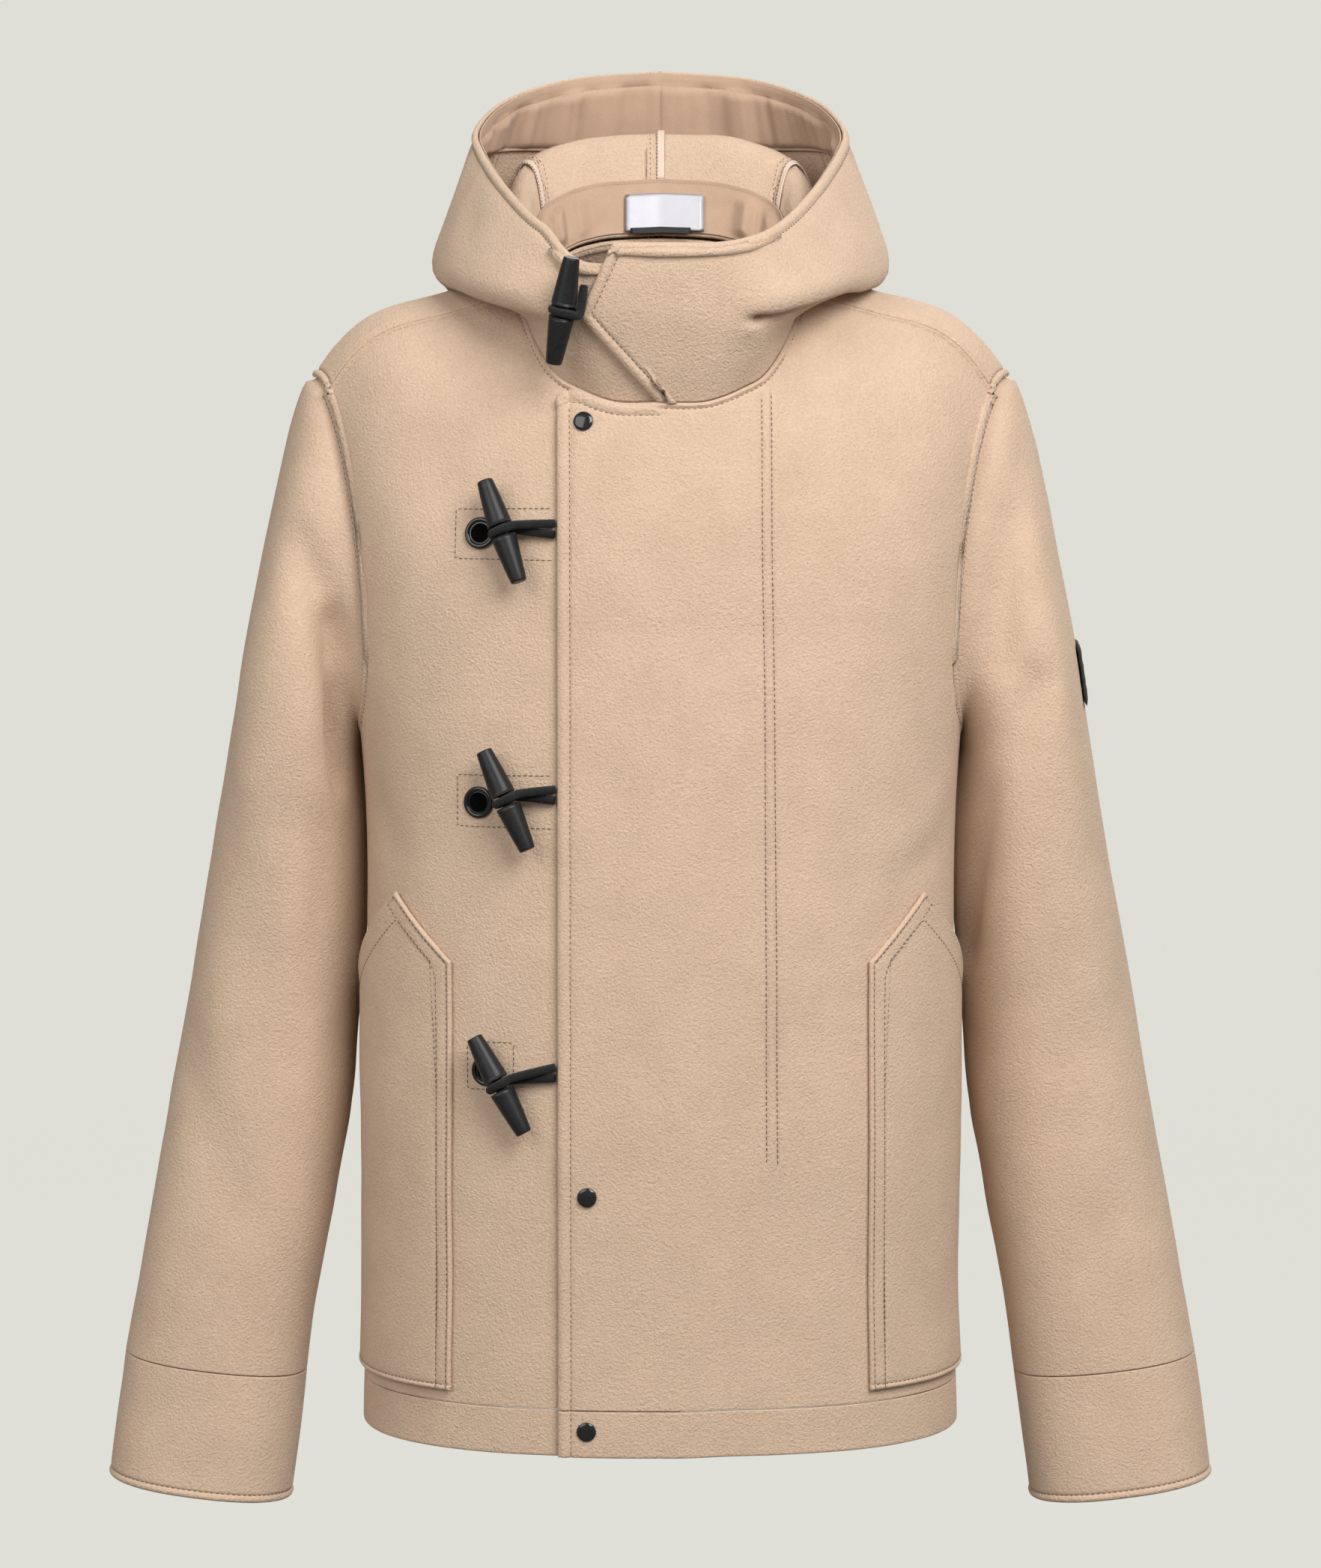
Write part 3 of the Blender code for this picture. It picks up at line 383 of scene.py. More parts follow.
def ridgeAndGroove(d, stitch, ridge=0.0010, groove=0.0009, width=0.00080):      # the padded edge between the edge and its stitches, and the dent that the thread pulls
    inside = np.clip(d / stitch, 0, 1)
    return ridge * np.sin(np.pi * inside) ** 2 * (d < stitch) - groove * np.exp(-((d - stitch) / width) ** 2)


runs = []      # rows of stitches: points and directions, with the thread's own sizes


def lineWhere(points, normals, distance, at, axis):      # the place on each grid line where the distance first passes a value
    d, p, n = (distance, points, normals) if axis == 1 else (distance.T, points.swapaxes(0, 1), normals.swapaxes(0, 1))
    found, ways = [], []
    for i in range(len(d)):
        cross = np.nonzero((d[i, :-1] < at) & (d[i, 1:] >= at))[0]
        if not len(cross):
            cross = np.nonzero((d[i, :-1] >= at) & (d[i, 1:] < at))[0]
        if not len(cross):
            continue
        k = cross[0]
        t = (at - d[i, k]) / (d[i, k + 1] - d[i, k])
        found.append(p[i, k] * (1 - t) + p[i, k + 1] * t)
        ways.append(n[i, k] * (1 - t) + n[i, k + 1] * t)
    return np.array(found), np.array(ways)


def addRun(points, normals, **sizes):
    if len(points) > 2:
        runs.append((np.asarray(points), np.asarray(normals), sizes))


# ---- the body's panels

def bodyHeight(points):
    return foldsAt(points, folds) + rolling(points, 0.075, 0.0011, 3.7) + rolling(points, 0.028, 0.00035, 9.1)


def frontPlace(x, z):     # angle and rise of the place on the front that is seen at x, z
    x, z = np.broadcast_arrays(np.asarray(x, float), np.asarray(z, float))
    column = x.copy()
    turn = np.zeros_like(x)
    for _ in range(12):
        across = np.abs(column)
        tip = across * (1.0 + body["flare"] * (across / body["armhole"]) ** 2)
        share = np.clip((z - body["chest"]) / (ridgeHeight(tip) - body["chest"]), 0, 1)
        turn = np.arcsin(share)
        seen = across + (tip - across) * (1.0 - np.cos(turn)) ** 0.8
        column = column + (x - np.copysign(seen, x))
    above = z > body["chest"]
    angle = np.where(above, angleOf(column), angleOf(x, z))
    return np.stack([angle, np.where(above, turn, z - body["chest"])], axis=-1)


def onFront(x, z, lifted=False, out=0.0):      # points and directions on the finished cloth
    surface = bodySurface(lifted=lifted)
    params = frontPlace(x, z)
    step = np.array([0.002, 0.0]), np.array([0.0, 0.002])
    points = surface(params)
    n = np.cross(surface(params + step[0]) - surface(params - step[0]),
                 surface(params + step[1]) - surface(params - step[1]))
    n /= np.linalg.norm(n, axis=-1, keepdims=True)
    return points + n * (bodyHeight(points) + out)[..., None], n


def dense(line, spacing=0.002):     # more points along a polyline of any number of dimensions
    line = np.asarray(line, float)
    run = lengths(line, 0)
    count = max(2, int(round(run[-1] / spacing)) + 1)
    at = np.linspace(0, run[-1], count)
    return np.stack([np.interp(at, run, line[:, c]) for c in range(line.shape[1])], axis=-1)


panels = {
    "flapStitch": 0.0080, "neckStitch": 0.0040, "shoulderStitch": 0.0048, "armholeStitch": 0.0056,
    "flapTopEnd": -0.001,
    "longStitches": [[(0.0612, -0.0600), (0.0612, -0.1430), (0.0628, -0.2360), (0.0644, -0.5230)],
                     [(0.0671, -0.0580), (0.0671, -0.1430), (0.0686, -0.2360), (0.0711, -0.5240)]],
    "squares": [[(-0.0655, -0.1270), (-0.1243, -0.1275), (-0.1245, -0.1572), (-0.0655, -0.1580)],
                [(-0.0655, -0.2875), (-0.1228, -0.2880), (-0.1230, -0.3190), (-0.0655, -0.3195)],
                [(-0.0890, -0.4500), (-0.1172, -0.4500), (-0.1172, -0.4790), (-0.0890, -0.4790),
                 (-0.0890, -0.4500)]],
}


def panelPiece(name, params, surface, looks, stitched=None, lines=(), arms=(), sewn=()):
    points = surface(params)
    n = normalsOf(points)
    height = bodyHeight(points)
    borders, ridges = {}, [np.zeros_like(height)]
    for side in arms:       # the armhole's edge stands proud of the sleeve
        column = 0 if side == "left" else -1
        above = points[:, column, 2] > body["armpit"] + 0.001
        d = lineDistance(points, points[above, column])
        borders["arm" + side] = np.where(above[:, None], d, 1.0)
        ridges.append(ridgeAndGroove(d, panels["armholeStitch"], 0.0012))
    for side, stitch in (stitched or {}).items():
        line = {"left": points[:, 0], "right": points[:, -1], "low": points[0], "high": points[-1]}[side]
        borders[side] = lineDistance(points, line)
        ridges.append(ridgeAndGroove(borders[side], stitch))
    height = height + np.max(ridges, axis=0) + np.min(ridges, axis=0)
    for line in lines:
        d = lineDistance(points, line)
        height = height - 0.0007 * np.exp(-(d / 0.0008) ** 2) + 0.0003 * np.exp(-((d - 0.003) / 0.002) ** 2)
    points = points + n * height[..., None]
    n = normalsOf(points)
    for side in arms:
        for at in (0.0011, panels["armholeStitch"]):
            p, ways = lineWhere(points, n, borders["arm" + side], at, 1)
            addRun(p, ways)
    return shell(name, points, n, cloth["wall"], looks, sewn=sewn), points, n, borders


def makePanels(looks):
    made = {}
    space = body["spacing"]
    # the left front, with the storm flap at its free edge
    edge = float(angleOf(np.array(body["flapEdge"])))
    near = angleOf(np.arange(-0.054, 0.0595, 0.0050))
    fine = angleOf(np.arange(0.0598, 0.0730, 0.0007))
    far = evenAngles(float(fine[-1]) + 0.01, sideAngle, space)
    columns = np.concatenate([[edge], near, fine, far])
    tops = neckTurns(columns, False)
    square = math.asin((body["flapTop"] - body["chest"]) / (float(ridgeHeight(0.0625)) - body["chest"]))
    tops = np.where(columnAt(columns) < -body["flapSquare"], np.minimum(tops, square), tops)
    rows = bodyRows(body["band"] + 0.00015, body["armpit"], space, 46)
    surface = bodySurface(lifted=True)
    params = panelParams(columns, tops, rows)
    params = addLines(params, surface, "left", stitchedEdge(panels["flapStitch"]))
    params = addLines(params, surface, "high", stitchedEdge(panels["neckStitch"], panels["flapStitch"]))
    params = addLines(params, surface, "right", stitchedEdge(panels["armholeStitch"]))
    params = addLines(params, surface, "low", edgeLines)
    long = [onPath(line) for line in panels["longStitches"]]
    across = surface(params)[..., 0]
    neckStitch = np.where(across < panels["flapTopEnd"], panels["flapStitch"], panels["neckStitch"])
    piece, points, n, borders = panelPiece(
        "frontLeft", params, surface, looks,
        {"left": panels["flapStitch"], "high": neckStitch}, long, ["right"], ("right", "low", "high"))
    made["front_left"] = piece
    addPanelRuns(points, n, borders["left"], panels["flapStitch"], 1, lambda p: p[..., 2] < body["flapTop"] - 0.0075)
    addPanelRuns(points, n, borders["high"], panels["neckStitch"], 0, lambda p: (p[..., 0] < 0.088) & (p[..., 0] > panels["flapTopEnd"]))
    addPanelRuns(points, n, borders["high"], panels["flapStitch"], 0, lambda p: (p[..., 0] < panels["flapTopEnd"] + 0.003) & (p[..., 0] > -0.0545))
    for line in panels["longStitches"]:
        spots = dense(line)
        p, ways = onFront(spots[:, 0], spots[:, 1], True, -0.0004)
        addRun(p, ways)
    # the right front, which runs on under the flap
    columns = np.concatenate([-evenAngles(float(angleOf(np.array(0.07))), sideAngle, space)[::-1],
                              angleOf(np.arange(-0.066, body["under"] + 0.001, 0.0046))])
    tops = neckTurns(columns, False)
    surface = bodySurface()
    params = panelParams(columns, tops, rows)
    params = addLines(params, surface, "high", stitchedEdge(panels["neckStitch"]))
    params = addLines(params, surface, "left", stitchedEdge(panels["armholeStitch"]))
    params = addLines(params, surface, "right", edgeLines)
    params = addLines(params, surface, "low", edgeLines)
    piece, points, n, borders = panelPiece("frontRight", params, surface, looks,
                                           {"high": panels["neckStitch"]}, (), ["left"], ("left", "low", "high"))
    made["front_right"] = piece
    addPanelRuns(points, n, borders["high"], panels["neckStitch"], 0, lambda p: p[..., 0] > -0.088)
    for line in panels["squares"]:
        spots = dense(line)
        p, ways = onFront(spots[:, 0], spots[:, 1], False, 0.0001)
        addRun(p, ways)
    # the back, which comes over the shoulders to the forward seam
    half = evenAngles(0.0, sideAngle, space)
    neckColumns = angleOf(neckAt(np.linspace(176, 88, 26))[0])
    half = np.unique(np.round(np.concatenate([neckColumns, half[half > neckColumns.max() + 0.02]]), 6))
    half = half[np.append(True, np.diff(columnAt(half)) > 0.0002)]      # no two columns on one spot
    columns = np.concatenate([half[::-1], -half[half > 1e-6]])
    tops = math.pi - neckTurns(columns, True) - 0.002
    surface = bodySurface(turned=True)
    rows = bodyRows(body["band"] + 0.00015, body["armpit"], space, 56)
    params = panelParams(columns, tops, rows)
    params = addLines(params, surface, "high", stitchedEdge(panels["shoulderStitch"]))
    for side in ("left", "right"):
        params = addLines(params, surface, side, stitchedEdge(panels["armholeStitch"]))
    params = addLines(params, surface, "low", edgeLines)
    piece, points, n, borders = panelPiece("backPanel", params, surface, looks, {"high": panels["shoulderStitch"]},
                                           arms=["left", "right"], sewn=("left", "right", "low", "high"))
    made["back"] = piece
    addPanelRuns(points, n, borders["high"], panels["shoulderStitch"], 0, lambda p: p[..., 2] > -1)
    # the hem band
    band = bodyRows(body["hem"], body["band"] - 0.00015, 0.004, 0)
    left = np.concatenate([[edge], near, evenAngles(float(near[-1]) + 0.02, sideAngle, space)])
    right = -np.concatenate([[float(angleOf(np.array(-body["under"])))], evenAngles(0.02, sideAngle, space)])[::-1]
    whole = np.linspace(sideAngle, -sideAngle, 110)
    for name, columns, surface in (("Left", left, bodySurface(lifted=True)), ("Right", right, bodySurface()),
                                   ("Back", whole, bodySurface(turned=True))):
        params = panelParams(columns, 0 * columns, band)
        params = addLines(params, surface, "low", edgeLines)
        params = addLines(params, surface, "high", edgeLines)
        if name == "Left":
            params = addLines(params, surface, "left", stitchedEdge(panels["flapStitch"]))
        stitched = {"left": panels["flapStitch"]} if name == "Left" else {}
        sewn = {"Left": ("high", "right"), "Right": ("high", "left"), "Back": ("high", "left", "right")}[name]
        piece, points, n, borders = panelPiece("hemBand" + name, params, surface, looks, stitched, sewn=sewn)
        made["hem_band_" + name.lower()] = piece
        if name == "Left":
            addPanelRuns(points, n, borders["left"], panels["flapStitch"], 1, lambda p: p[..., 2] > -1)
    return made


def onPath(line):
    spots = dense(line, 0.006)
    return bodySurface()(frontPlace(spots[:, 0], spots[:, 1]))


def addPanelRuns(points, n, distance, at, axis, wanted):
    p, ways = lineWhere(points, n, distance, at, axis)
    if len(p):
        keep = wanted(p)
        addRun(p[keep] - ways[keep] * 0.0001, ways[keep])


# ---- sleeves and cuffs

sleeve = {
    "rows": [   # share of the armhole's shape left, inner end x z, outer end x z, half depth, middle y
        (0.82, 0.1905, -0.2680, 0.2262, -0.0580, 0.0580, 0.004), (0.58, 0.1908, -0.2705, 0.2320, -0.0730, 0.0620, 0.005),
        (0.34, 0.1910, -0.2735, 0.2400, -0.1050, 0.0670, 0.007), (0.12, 0.1912, -0.2775, 0.2500, -0.1580, 0.0710, 0.008),
        (0.00, 0.1914, -0.2830, 0.2591, -0.2072, 0.0735, 0.009), (0.00, 0.1914, -0.2960, 0.2680, -0.2637, 0.0745, 0.010),
        (0.00, 0.1915, -0.3355, 0.2773, -0.3205, 0.0735, 0.012), (0.00, 0.1935, -0.3930, 0.2872, -0.3774, 0.0705, 0.013),
        (0.00, 0.1965, -0.4500, 0.2975, -0.4345, 0.0665, 0.013), (0.00, 0.1985, -0.5070, 0.3075, -0.4918, 0.0620, 0.011),
        (0.00, 0.2060, -0.5642, 0.3174, -0.5492, 0.0575, 0.008), (0.00, 0.2165, -0.6220, 0.3279, -0.6068, 0.0535, 0.005),
        (0.00, 0.2243, -0.6757, 0.3385, -0.6620, 0.0505, 0.002)],
    "cuff": [(0.00, 0.22431, -0.6760, 0.33851, -0.6623, 0.0505, 0.002), (0.00, 0.2290, -0.7150, 0.3440, -0.7010, 0.0500, 0.000),
             (0.00, 0.2344, -0.7559, 0.3490, -0.7408, 0.0495, -0.002)],
    "shape": 2.3, "around": 108, "spacing": 0.0052, "cuffRoll": 0.0050, "sunk": 0.0005, "tuck": 0.0060, "tuckDeep": 0.0036,
    "bulges": [((191, 10, -282), (193.5, 10, -400), 34, 8.6), ((193.5, 10, -390), (198.5, 10, -508), 28, 5.6)],
    # folds placed on the front (-1) or the back (1) of each sleeve: two places x z, half width and height
    "left": [(-1, (222, -92), (214, -150), 15, -3.2), (-1, (216, -140), (209, -222), 13, -8.5),
             (-1, (232, -236), (196, -405), 12, -9.5), (-1, (238, -205), (246, -262), 15, 3.0),
             (-1, (214, -300), (222, -410), 18, 2.4), (-1, (240, -270), (262, -420), 24, 1.8),
             (-1, (262, -150), (278, -300), 20, -1.6), (-1, (290, -420), (262, -470), 18, -1.8),
             (-1, (300, -560), (262, -590), 20, -1.6), (1, (222, -230), (262, -300), 20, -3.5),
             (1, (285, -430), (240, -480), 18, -3.0), (1, (300, -600), (255, -620), 16, -2.0)],
    "right": [(-1, (221, -152), (198, -214), 13, -10.0), (-1, (202, -205), (199, -290), 12, -11.0), (-1, (204, -195), (198, -300), 7, -7.0),
              (-1, (228, -170), (222, -300), 20, 2.6), (-1, (208, -330), (214, -430), 14, -3.0),
              (-1, (262, -330), (236, -470), 20, -3.4), (-1, (250, -200), (262, -330), 22, 1.6),
              (-1, (292, -470), (268, -560), 18, -3.0), (-1, (320, -600), (290, -650), 20, 1.2),
              (1, (222, -230), (262, -300), 20, -3.5), (1, (285, -420), (240, -470), 18, -3.0),
              (1, (300, -590), (255, -610), 16, -2.0)],
}


def armholeLoop():
    count = sleeve["around"]
    fine = 60
    turns = np.linspace(1, 0, fine)
    places = [(armAngle, body["seamTurn"] * s) for s in turns[:-1]]
    drop = body["armpit"] - body["chest"]
    for s in np.linspace(0, 90, 30):
        places.append((sideAngle - (sideAngle - armAngle) * math.cos(math.radians(s)), drop * math.sin(math.radians(s))))
    for s in np.linspace(90, 0, 30)[1:]:
        places.append((math.pi - sideAngle + (sideAngle - armAngle) * math.cos(math.radians(s)),
                       drop * math.sin(math.radians(s))))
    over = math.pi - body["seamTurn"]
    places += [(math.pi - armAngle, over * s) for s in np.linspace(0, 1, fine)[1:]]
    places = np.array(places)
    points = bodyPoint(places[:, 0], places[:, 1])
    run = lengths(points, 0)
    at = np.linspace(0, run[-1], count, endpoint=False)
    places = np.stack([np.interp(at, run, places[:, c]) for c in range(2)], axis=-1)
    points = bodyPoint(places[:, 0], places[:, 1])
    step = 0.003
    across = bodyPoint(places[:, 0] + step, places[:, 1]) - bodyPoint(places[:, 0] - step, places[:, 1])
    along = bodyPoint(places[:, 0], places[:, 1] + step) - bodyPoint(places[:, 0], places[:, 1] - step)
    n = np.cross(across, along)
    return points, n / np.linalg.norm(n, axis=1, keepdims=True)


def ringOf(row, hole, topShare):
    blend, inX, inZ, outX, outZ, deep, midY = row
    inner, outer = np.array([inX, midY, inZ]), np.array([outX, midY, outZ])
    a = np.linspace(0, 2 * math.pi, 361)
    power = 2.0 / sleeve["shape"]
    c, s = np.cos(a), np.sin(a)
    dots = ((inner + outer) / 2 + np.outer(np.sign(c) * np.abs(c) ** power, (outer - inner) / 2)
            - np.outer(np.sign(s) * np.abs(s) ** power, [0, deep, 0]))
    run = lengths(dots, 0)
    at = ((np.arange(len(hole)) / len(hole) - topShare) % 1.0) * run[-1]
    ring = np.stack([np.interp(at, run, dots[:, k]) for k in range(3)], axis=-1)
    return hole * blend + ring * (1 - blend)


def sleeveGrid(rows, start):
    hole, n = armholeLoop()
    topShare = int(np.argmax(hole[:, 2])) / len(hole)
    upper = smoothStep((hole[:, 2] + 0.20) / 0.08)[:, None]
    aim = ringOf(sleeve["rows"][0], hole, topShare) - hole
    away = aim - n * np.sum(aim * n, axis=1, keepdims=True)
    away /= np.maximum(np.linalg.norm(away, axis=1, keepdims=True), 1e-9)
    first = hole + away * cloth["gap"] * upper + n * 2 * cloth["gap"] * (1 - upper)
    under = [hole - away * sleeve["tuck"] - n * sleeve["tuckDeep"], first - n * sleeve["sunk"]]     # the start lies beneath the body's edge
    rings = np.array((under if start else []) + [ringOf(row, first, topShare) for row in rows])
    keys = lengths(rings, 0).mean(axis=1)
    total, spacing = keys[-1], sleeve["spacing"]
    ends = list(edgeLines)
    if not start:
        roll = sleeve["cuffRoll"]
        ends += [roll * 0.75, roll - 0.0008, roll - 0.0004, roll, roll + 0.0004, roll + 0.0008, roll + 0.0016]
    last = max(ends) + 0.0014
    at = np.concatenate([[0.0], edgeLines, np.linspace(0.004, total - last, int((total - last) / spacing) + 2),
                         total - np.array(sorted(ends))[::-1], [total]])
    return curveThrough(keys, rings, at), at


def makeSleeves(looks, patchLooks):
    made = {}
    for side, sign in (("left", 1), ("right", -1)):
        for kind, rows, start in (("sleeve", sleeve["rows"], True), ("cuff", sleeve["cuff"], False)):
            grid, at = sleeveGrid(rows, start)
            grid = grid * np.array([sign, 1.0, 1.0])
            n = normalsOf(grid, around=True)
            if np.sum(n * (grid - grid.mean(axis=1, keepdims=True))) < 0:
                grid = grid[:, ::-1]
                n = normalsOf(grid, around=True)
            height = bodyHeight(grid)
            if start:
                bulges = [(np.array(a) * (sign, 1, 1), np.array(b) * (sign, 1, 1), w, h) for a, b, w, h in sleeve["bulges"]]
                fade = smoothStep((at - sleeve["tuck"]) / 0.02)[:, None]
                height = height + foldsAt(grid, bulges) + foldsAt(grid, snapped(grid, sleeve[side], sign)) * fade
            else:
                height = height + ridgeAndGroove(at[-1] - at, sleeve["cuffRoll"], 0.0008, 0.0009, 0.0007)[:, None]
            grid = grid + n * height[..., None]
            n = normalsOf(grid, around=True)
            made[f"{kind}_{side}"] = shell(kind + side.capitalize(), grid, n, cloth["wall"], looks, True,
                                           ("low", "high") if start else ("low",))
            if not start:
                where = int(np.argmin(np.abs(at[-1] - at - sleeve["cuffRoll"])))
                addRun(np.concatenate([grid[where], grid[where][:1]]), np.concatenate([n[where], n[where][:1]]))
            elif sign > 0:
                made["sleeve_patch"] = makePatch(grid, n, patchLooks)
    return made


def snapped(grid, rows, sign):      # the ends of each fold, moved on to the sleeve
    made = []
    for face, *ends, width, rise in rows:
        on = [grid[np.unravel_index(np.argmin(np.abs(grid[..., 0] * sign - x / 1000) + np.abs(grid[..., 2] - z / 1000)
                                              + np.where(grid[..., 1] * face > 0.010, 0, 9)), grid.shape[:2])]
              for x, z in ends]
        made.append((on[0] * 1000, on[1] * 1000, width, rise))
    return made


patch = {"lift": 0.0007, "thick": 0.0020}


def makePatch(grid, n, looks):
    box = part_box("sleeve_patch")
    z0, z1, y0, y1 = box[0][2], box[1][2], box[0][1], box[1][1]
    outerSide = grid[:, :, 0] > 0.235
    rows = []
    for z in np.linspace(z0, z1, 14):
        row = []
        for y in np.linspace(y0, y1, 16):
            d = (grid[..., 1] - y) ** 2 + (grid[..., 2] - z) ** 2 + np.where(outerSide, 0, 1)
            near = np.argsort(d.ravel())[:6]
            w = 1 / (d.ravel()[near] + 1e-7)
            w /= w.sum()
            row.append(np.concatenate([(grid.reshape(-1, 3)[near] * w[:, None]).sum(0), (n.reshape(-1, 3)[near] * w[:, None]).sum(0)]))
        rows.append(row)
    rows = np.array(rows)
    points, ways = rows[..., :3], rows[..., 3:]
    points[..., 1] = np.linspace(y0, y1, 16)[None, :]
    points[..., 2] = np.linspace(z0, z1, 14)[:, None]
    ways /= np.linalg.norm(ways, axis=-1, keepdims=True)
    flat = normalsOf(points)
    if np.sum(flat * ways) < 0:
        points = points[:, ::-1]
        flat = normalsOf(points)
    top = points + flat * (patch["lift"] + patch["thick"])
    return shell("sleevePatch", top, flat, patch["thick"], looks)


# ---- the hood and its collar

hood = {
    "steps": [0.0, 0.15, 0.31, 0.47, 0.56, 0.78, 1.0],
    "rows": [   # angle round the neck: roll top, inner fold, lowest point, outer fold, outer wall, rim
        (0, (0, -.1195, -.0460), (0, -.1245, -.0270), (0, -.1285, -.0100), (0, -.1300, .0020),
         (0, -.1315, .0180), (0, -.1305, .0325)),
        (25, (.038, -.1170, -.0430), (.042, -.1225, -.0260), (.045, -.1270, -.0100), (.045, -.1285, .0020),
         (.043, -.1285, .0190), (.040, -.1270, .0335)),
        (45, (.063, -.1070, -.0320), (.070, -.1120, -.0160), (.079, -.1160, -.0080), (.0825, -.1165, .0030),
         (.0765, -.1100, .0220), (.069, -.1000, .0435)),
        (70, (.086, -.0740, -.0060), (.100, -.0760, -.0020), (.115, -.0720, .0010), (.1210, -.0670, .0120),
         (.1115, -.0580, .0360), (.0945, -.0420, .0680)),
        (90, (.094, -.0340, .0200), (.112, -.0280, .0130), (.132, -.0200, .0060), (.1405, -.0100, .0170),
         (.1325, .0040, .0460), (.1120, .0180, .0925)),
        (110, (.0885, .0300, .0500), (.116, .0340, .0220), (.134, .0360, .0070), (.1405, .0380, .0200),
         (.1325, .0400, .0550), (.1155, .0450, .1085)),
        (132, (.0835, .0800, .0830), (.104, .0900, .0300), (.114, .0960, -.0120), (.1260, .1100, -.0060),
         (.1215, .1000, .0550), (.0980, .0900, .1275)),
        (156, (.050, .0980, .0990), (.062, .1130, .0350), (.070, .1150, -.0380), (.0760, .1420, -.0500),
         (.0710, .1450, .0420), (.0575, .1260, .1415)),
        (180, (0, .1050, .1030), (0, .1200, .0350), (0, .1220, -.0500), (0, .1460, -.0700),
         (0, .1520, .0380), (0, .1370, .1465))],
    "collar": [(-0.0660, 0.0000), (-0.0460, -0.0186), (-0.0270, -0.0357), (-0.0187, -0.0431), (-0.0140, -0.0472),
               (-0.0098, -0.0484), (0.0020, -0.0428), (0.0180, -0.0353), (0.0330, -0.0285)],
    "seam": 132.0, "under": 8.0, "rimStitch": 0.0060, "collarStitch": 0.0068, "seamStitches": (0.0030, 0.0068),
    "spacing": 0.0040, "creaseLevels": (0.340, 0.500),
}
# folds of the hood, as those of the body
hoodFolds = [
    ((55.5, -124.2, -14.6), (63, -121, -14.4), 3.4, -6.5),
    ((61, -121.8, -14.4), (82, -110.8, -9.6), 3.4, -6.5),
    ((80, -112, -9.8), (104, -87.4, -3.2), 4.0, -4.2),
    ((102, -89, -3.2), (120, -60, 1.5), 6, -2.0),
    ((56, -125, -5), (88, -108, 1), 7, 3.6),
    ((84, -110, 0), (108, -82, 8), 8, 2.6),
    ((48, -127, -20), (60, -122, -25), 7, 2.2),
    ((-84, -112, 0), (-118, -72, 8), 9, 1.4),
    ((-52, -124, 22), (-66, -112, 2), 6, -1.8),
    ((120, -40, 55), (95, -100, 35), 9, -1.4),
    ((132, 5, 35), (118, -62, 30), 10, 1.3),
    ((-120, -20, 60), (-112, -60, 20), 10, -1.2),
    ((-136, 20, 20), (-120, -50, 35), 12, 1.0),
    ((118, 100, 60), (90, 120, 10), 12, -1.8),
    ((-118, 100, 50), (-86, 124, 0), 12, -1.8),
    ((30, 148, 90), (50, 150, 0), 14, -1.6),
    ((-40, 148, 70), (-20, 150, -30), 14, -1.6),
    ((40, 102, 96), (52, 99, 70), 12, -2.6),
    ((-22, 106, 92), (-40, 101, 70), 11, -1.8),
]


def curveStack(keys, stack, at):      # as curveThrough, with a profile of its own for each place
    keys = np.asarray(keys, float)
    at = np.clip(at, keys[0], keys[-1])
    k = np.clip(np.searchsorted(keys, at, side="right") - 1, 0, len(keys) - 2)
    index = np.arange(len(keys))
    low, high = np.maximum(index - 1, 0), np.minimum(index + 1, len(keys) - 1)
    slope = (stack[high] - stack[low]) / (keys[high] - keys[low]).reshape(-1, *(1,) * (stack.ndim - 1))
    pick = lambda values, i: np.take_along_axis(values, i[None, ..., None], axis=0)[0]
    span = (keys[k + 1] - keys[k])[..., None]
    t = (at - keys[k])[..., None] / span
    return ((2 * t**3 - 3 * t**2 + 1) * pick(stack, k) + (t**3 - 2 * t**2 + t) * span * pick(slope, k)
            + (3 * t**2 - 2 * t**3) * pick(stack, k + 1) + (t**3 - t**2) * span * pick(slope, k + 1))


def hoodPoint(angle, level):
    angle, level = np.broadcast_arrays(np.asarray(angle, float), np.asarray(level, float))
    side = np.where(angle < 0, -1.0, 1.0) * np.where(np.abs(angle) > 180, -1.0, 1.0)
    roundNeck = np.minimum(np.abs(angle), 360 - np.abs(angle))
    keys = [r[0] for r in hood["rows"]]
    stack = [shoulderPoint(*neckAt(roundNeck))]
    stack += [curveThrough(keys, [r[1 + i] for r in hood["rows"]], roundNeck) for i in range(6)]
    points = curveStack(hood["steps"], np.array(stack), level)
    points[..., 0] *= side
    return points


def hoodSurface(collar=False, rightFront=False):
    def surface(params):
        angle, level = params[..., 0], params[..., 1]
        top = 1.0 - 0.20 * smoothStep((angle + 46) / 22) if rightFront else 1.0
        points = hoodPoint(angle, level * top)
        if collar:
            points = points + forward * flapLift(points[..., 0])[..., None]
        return points
    return surface


def collarAngle(level):      # where the free edge of the collar flap lies
    heights, across = np.array(hood["collar"]).T
    low, high = np.full(level.shape, -45.0), np.full(level.shape, 5.0)
    for _ in range(34):
        middle = (low + high) / 2
        p = hoodPoint(middle, level)
        left = p[..., 0] < np.interp(p[..., 2], heights, across)
        low, high = np.where(left, middle, low), np.where(left, high, middle)
    return (low + high) / 2


def hoodLevels(angle, spacing, top=1.0):
    fine = np.linspace(0.0012, top, 500)
    run = lengths(hoodPoint(np.full(500, float(angle)), fine), 0)
    count = int(round(run[-1] / spacing)) + 1
    return np.interp(np.linspace(0, run[-1], count), run, fine)


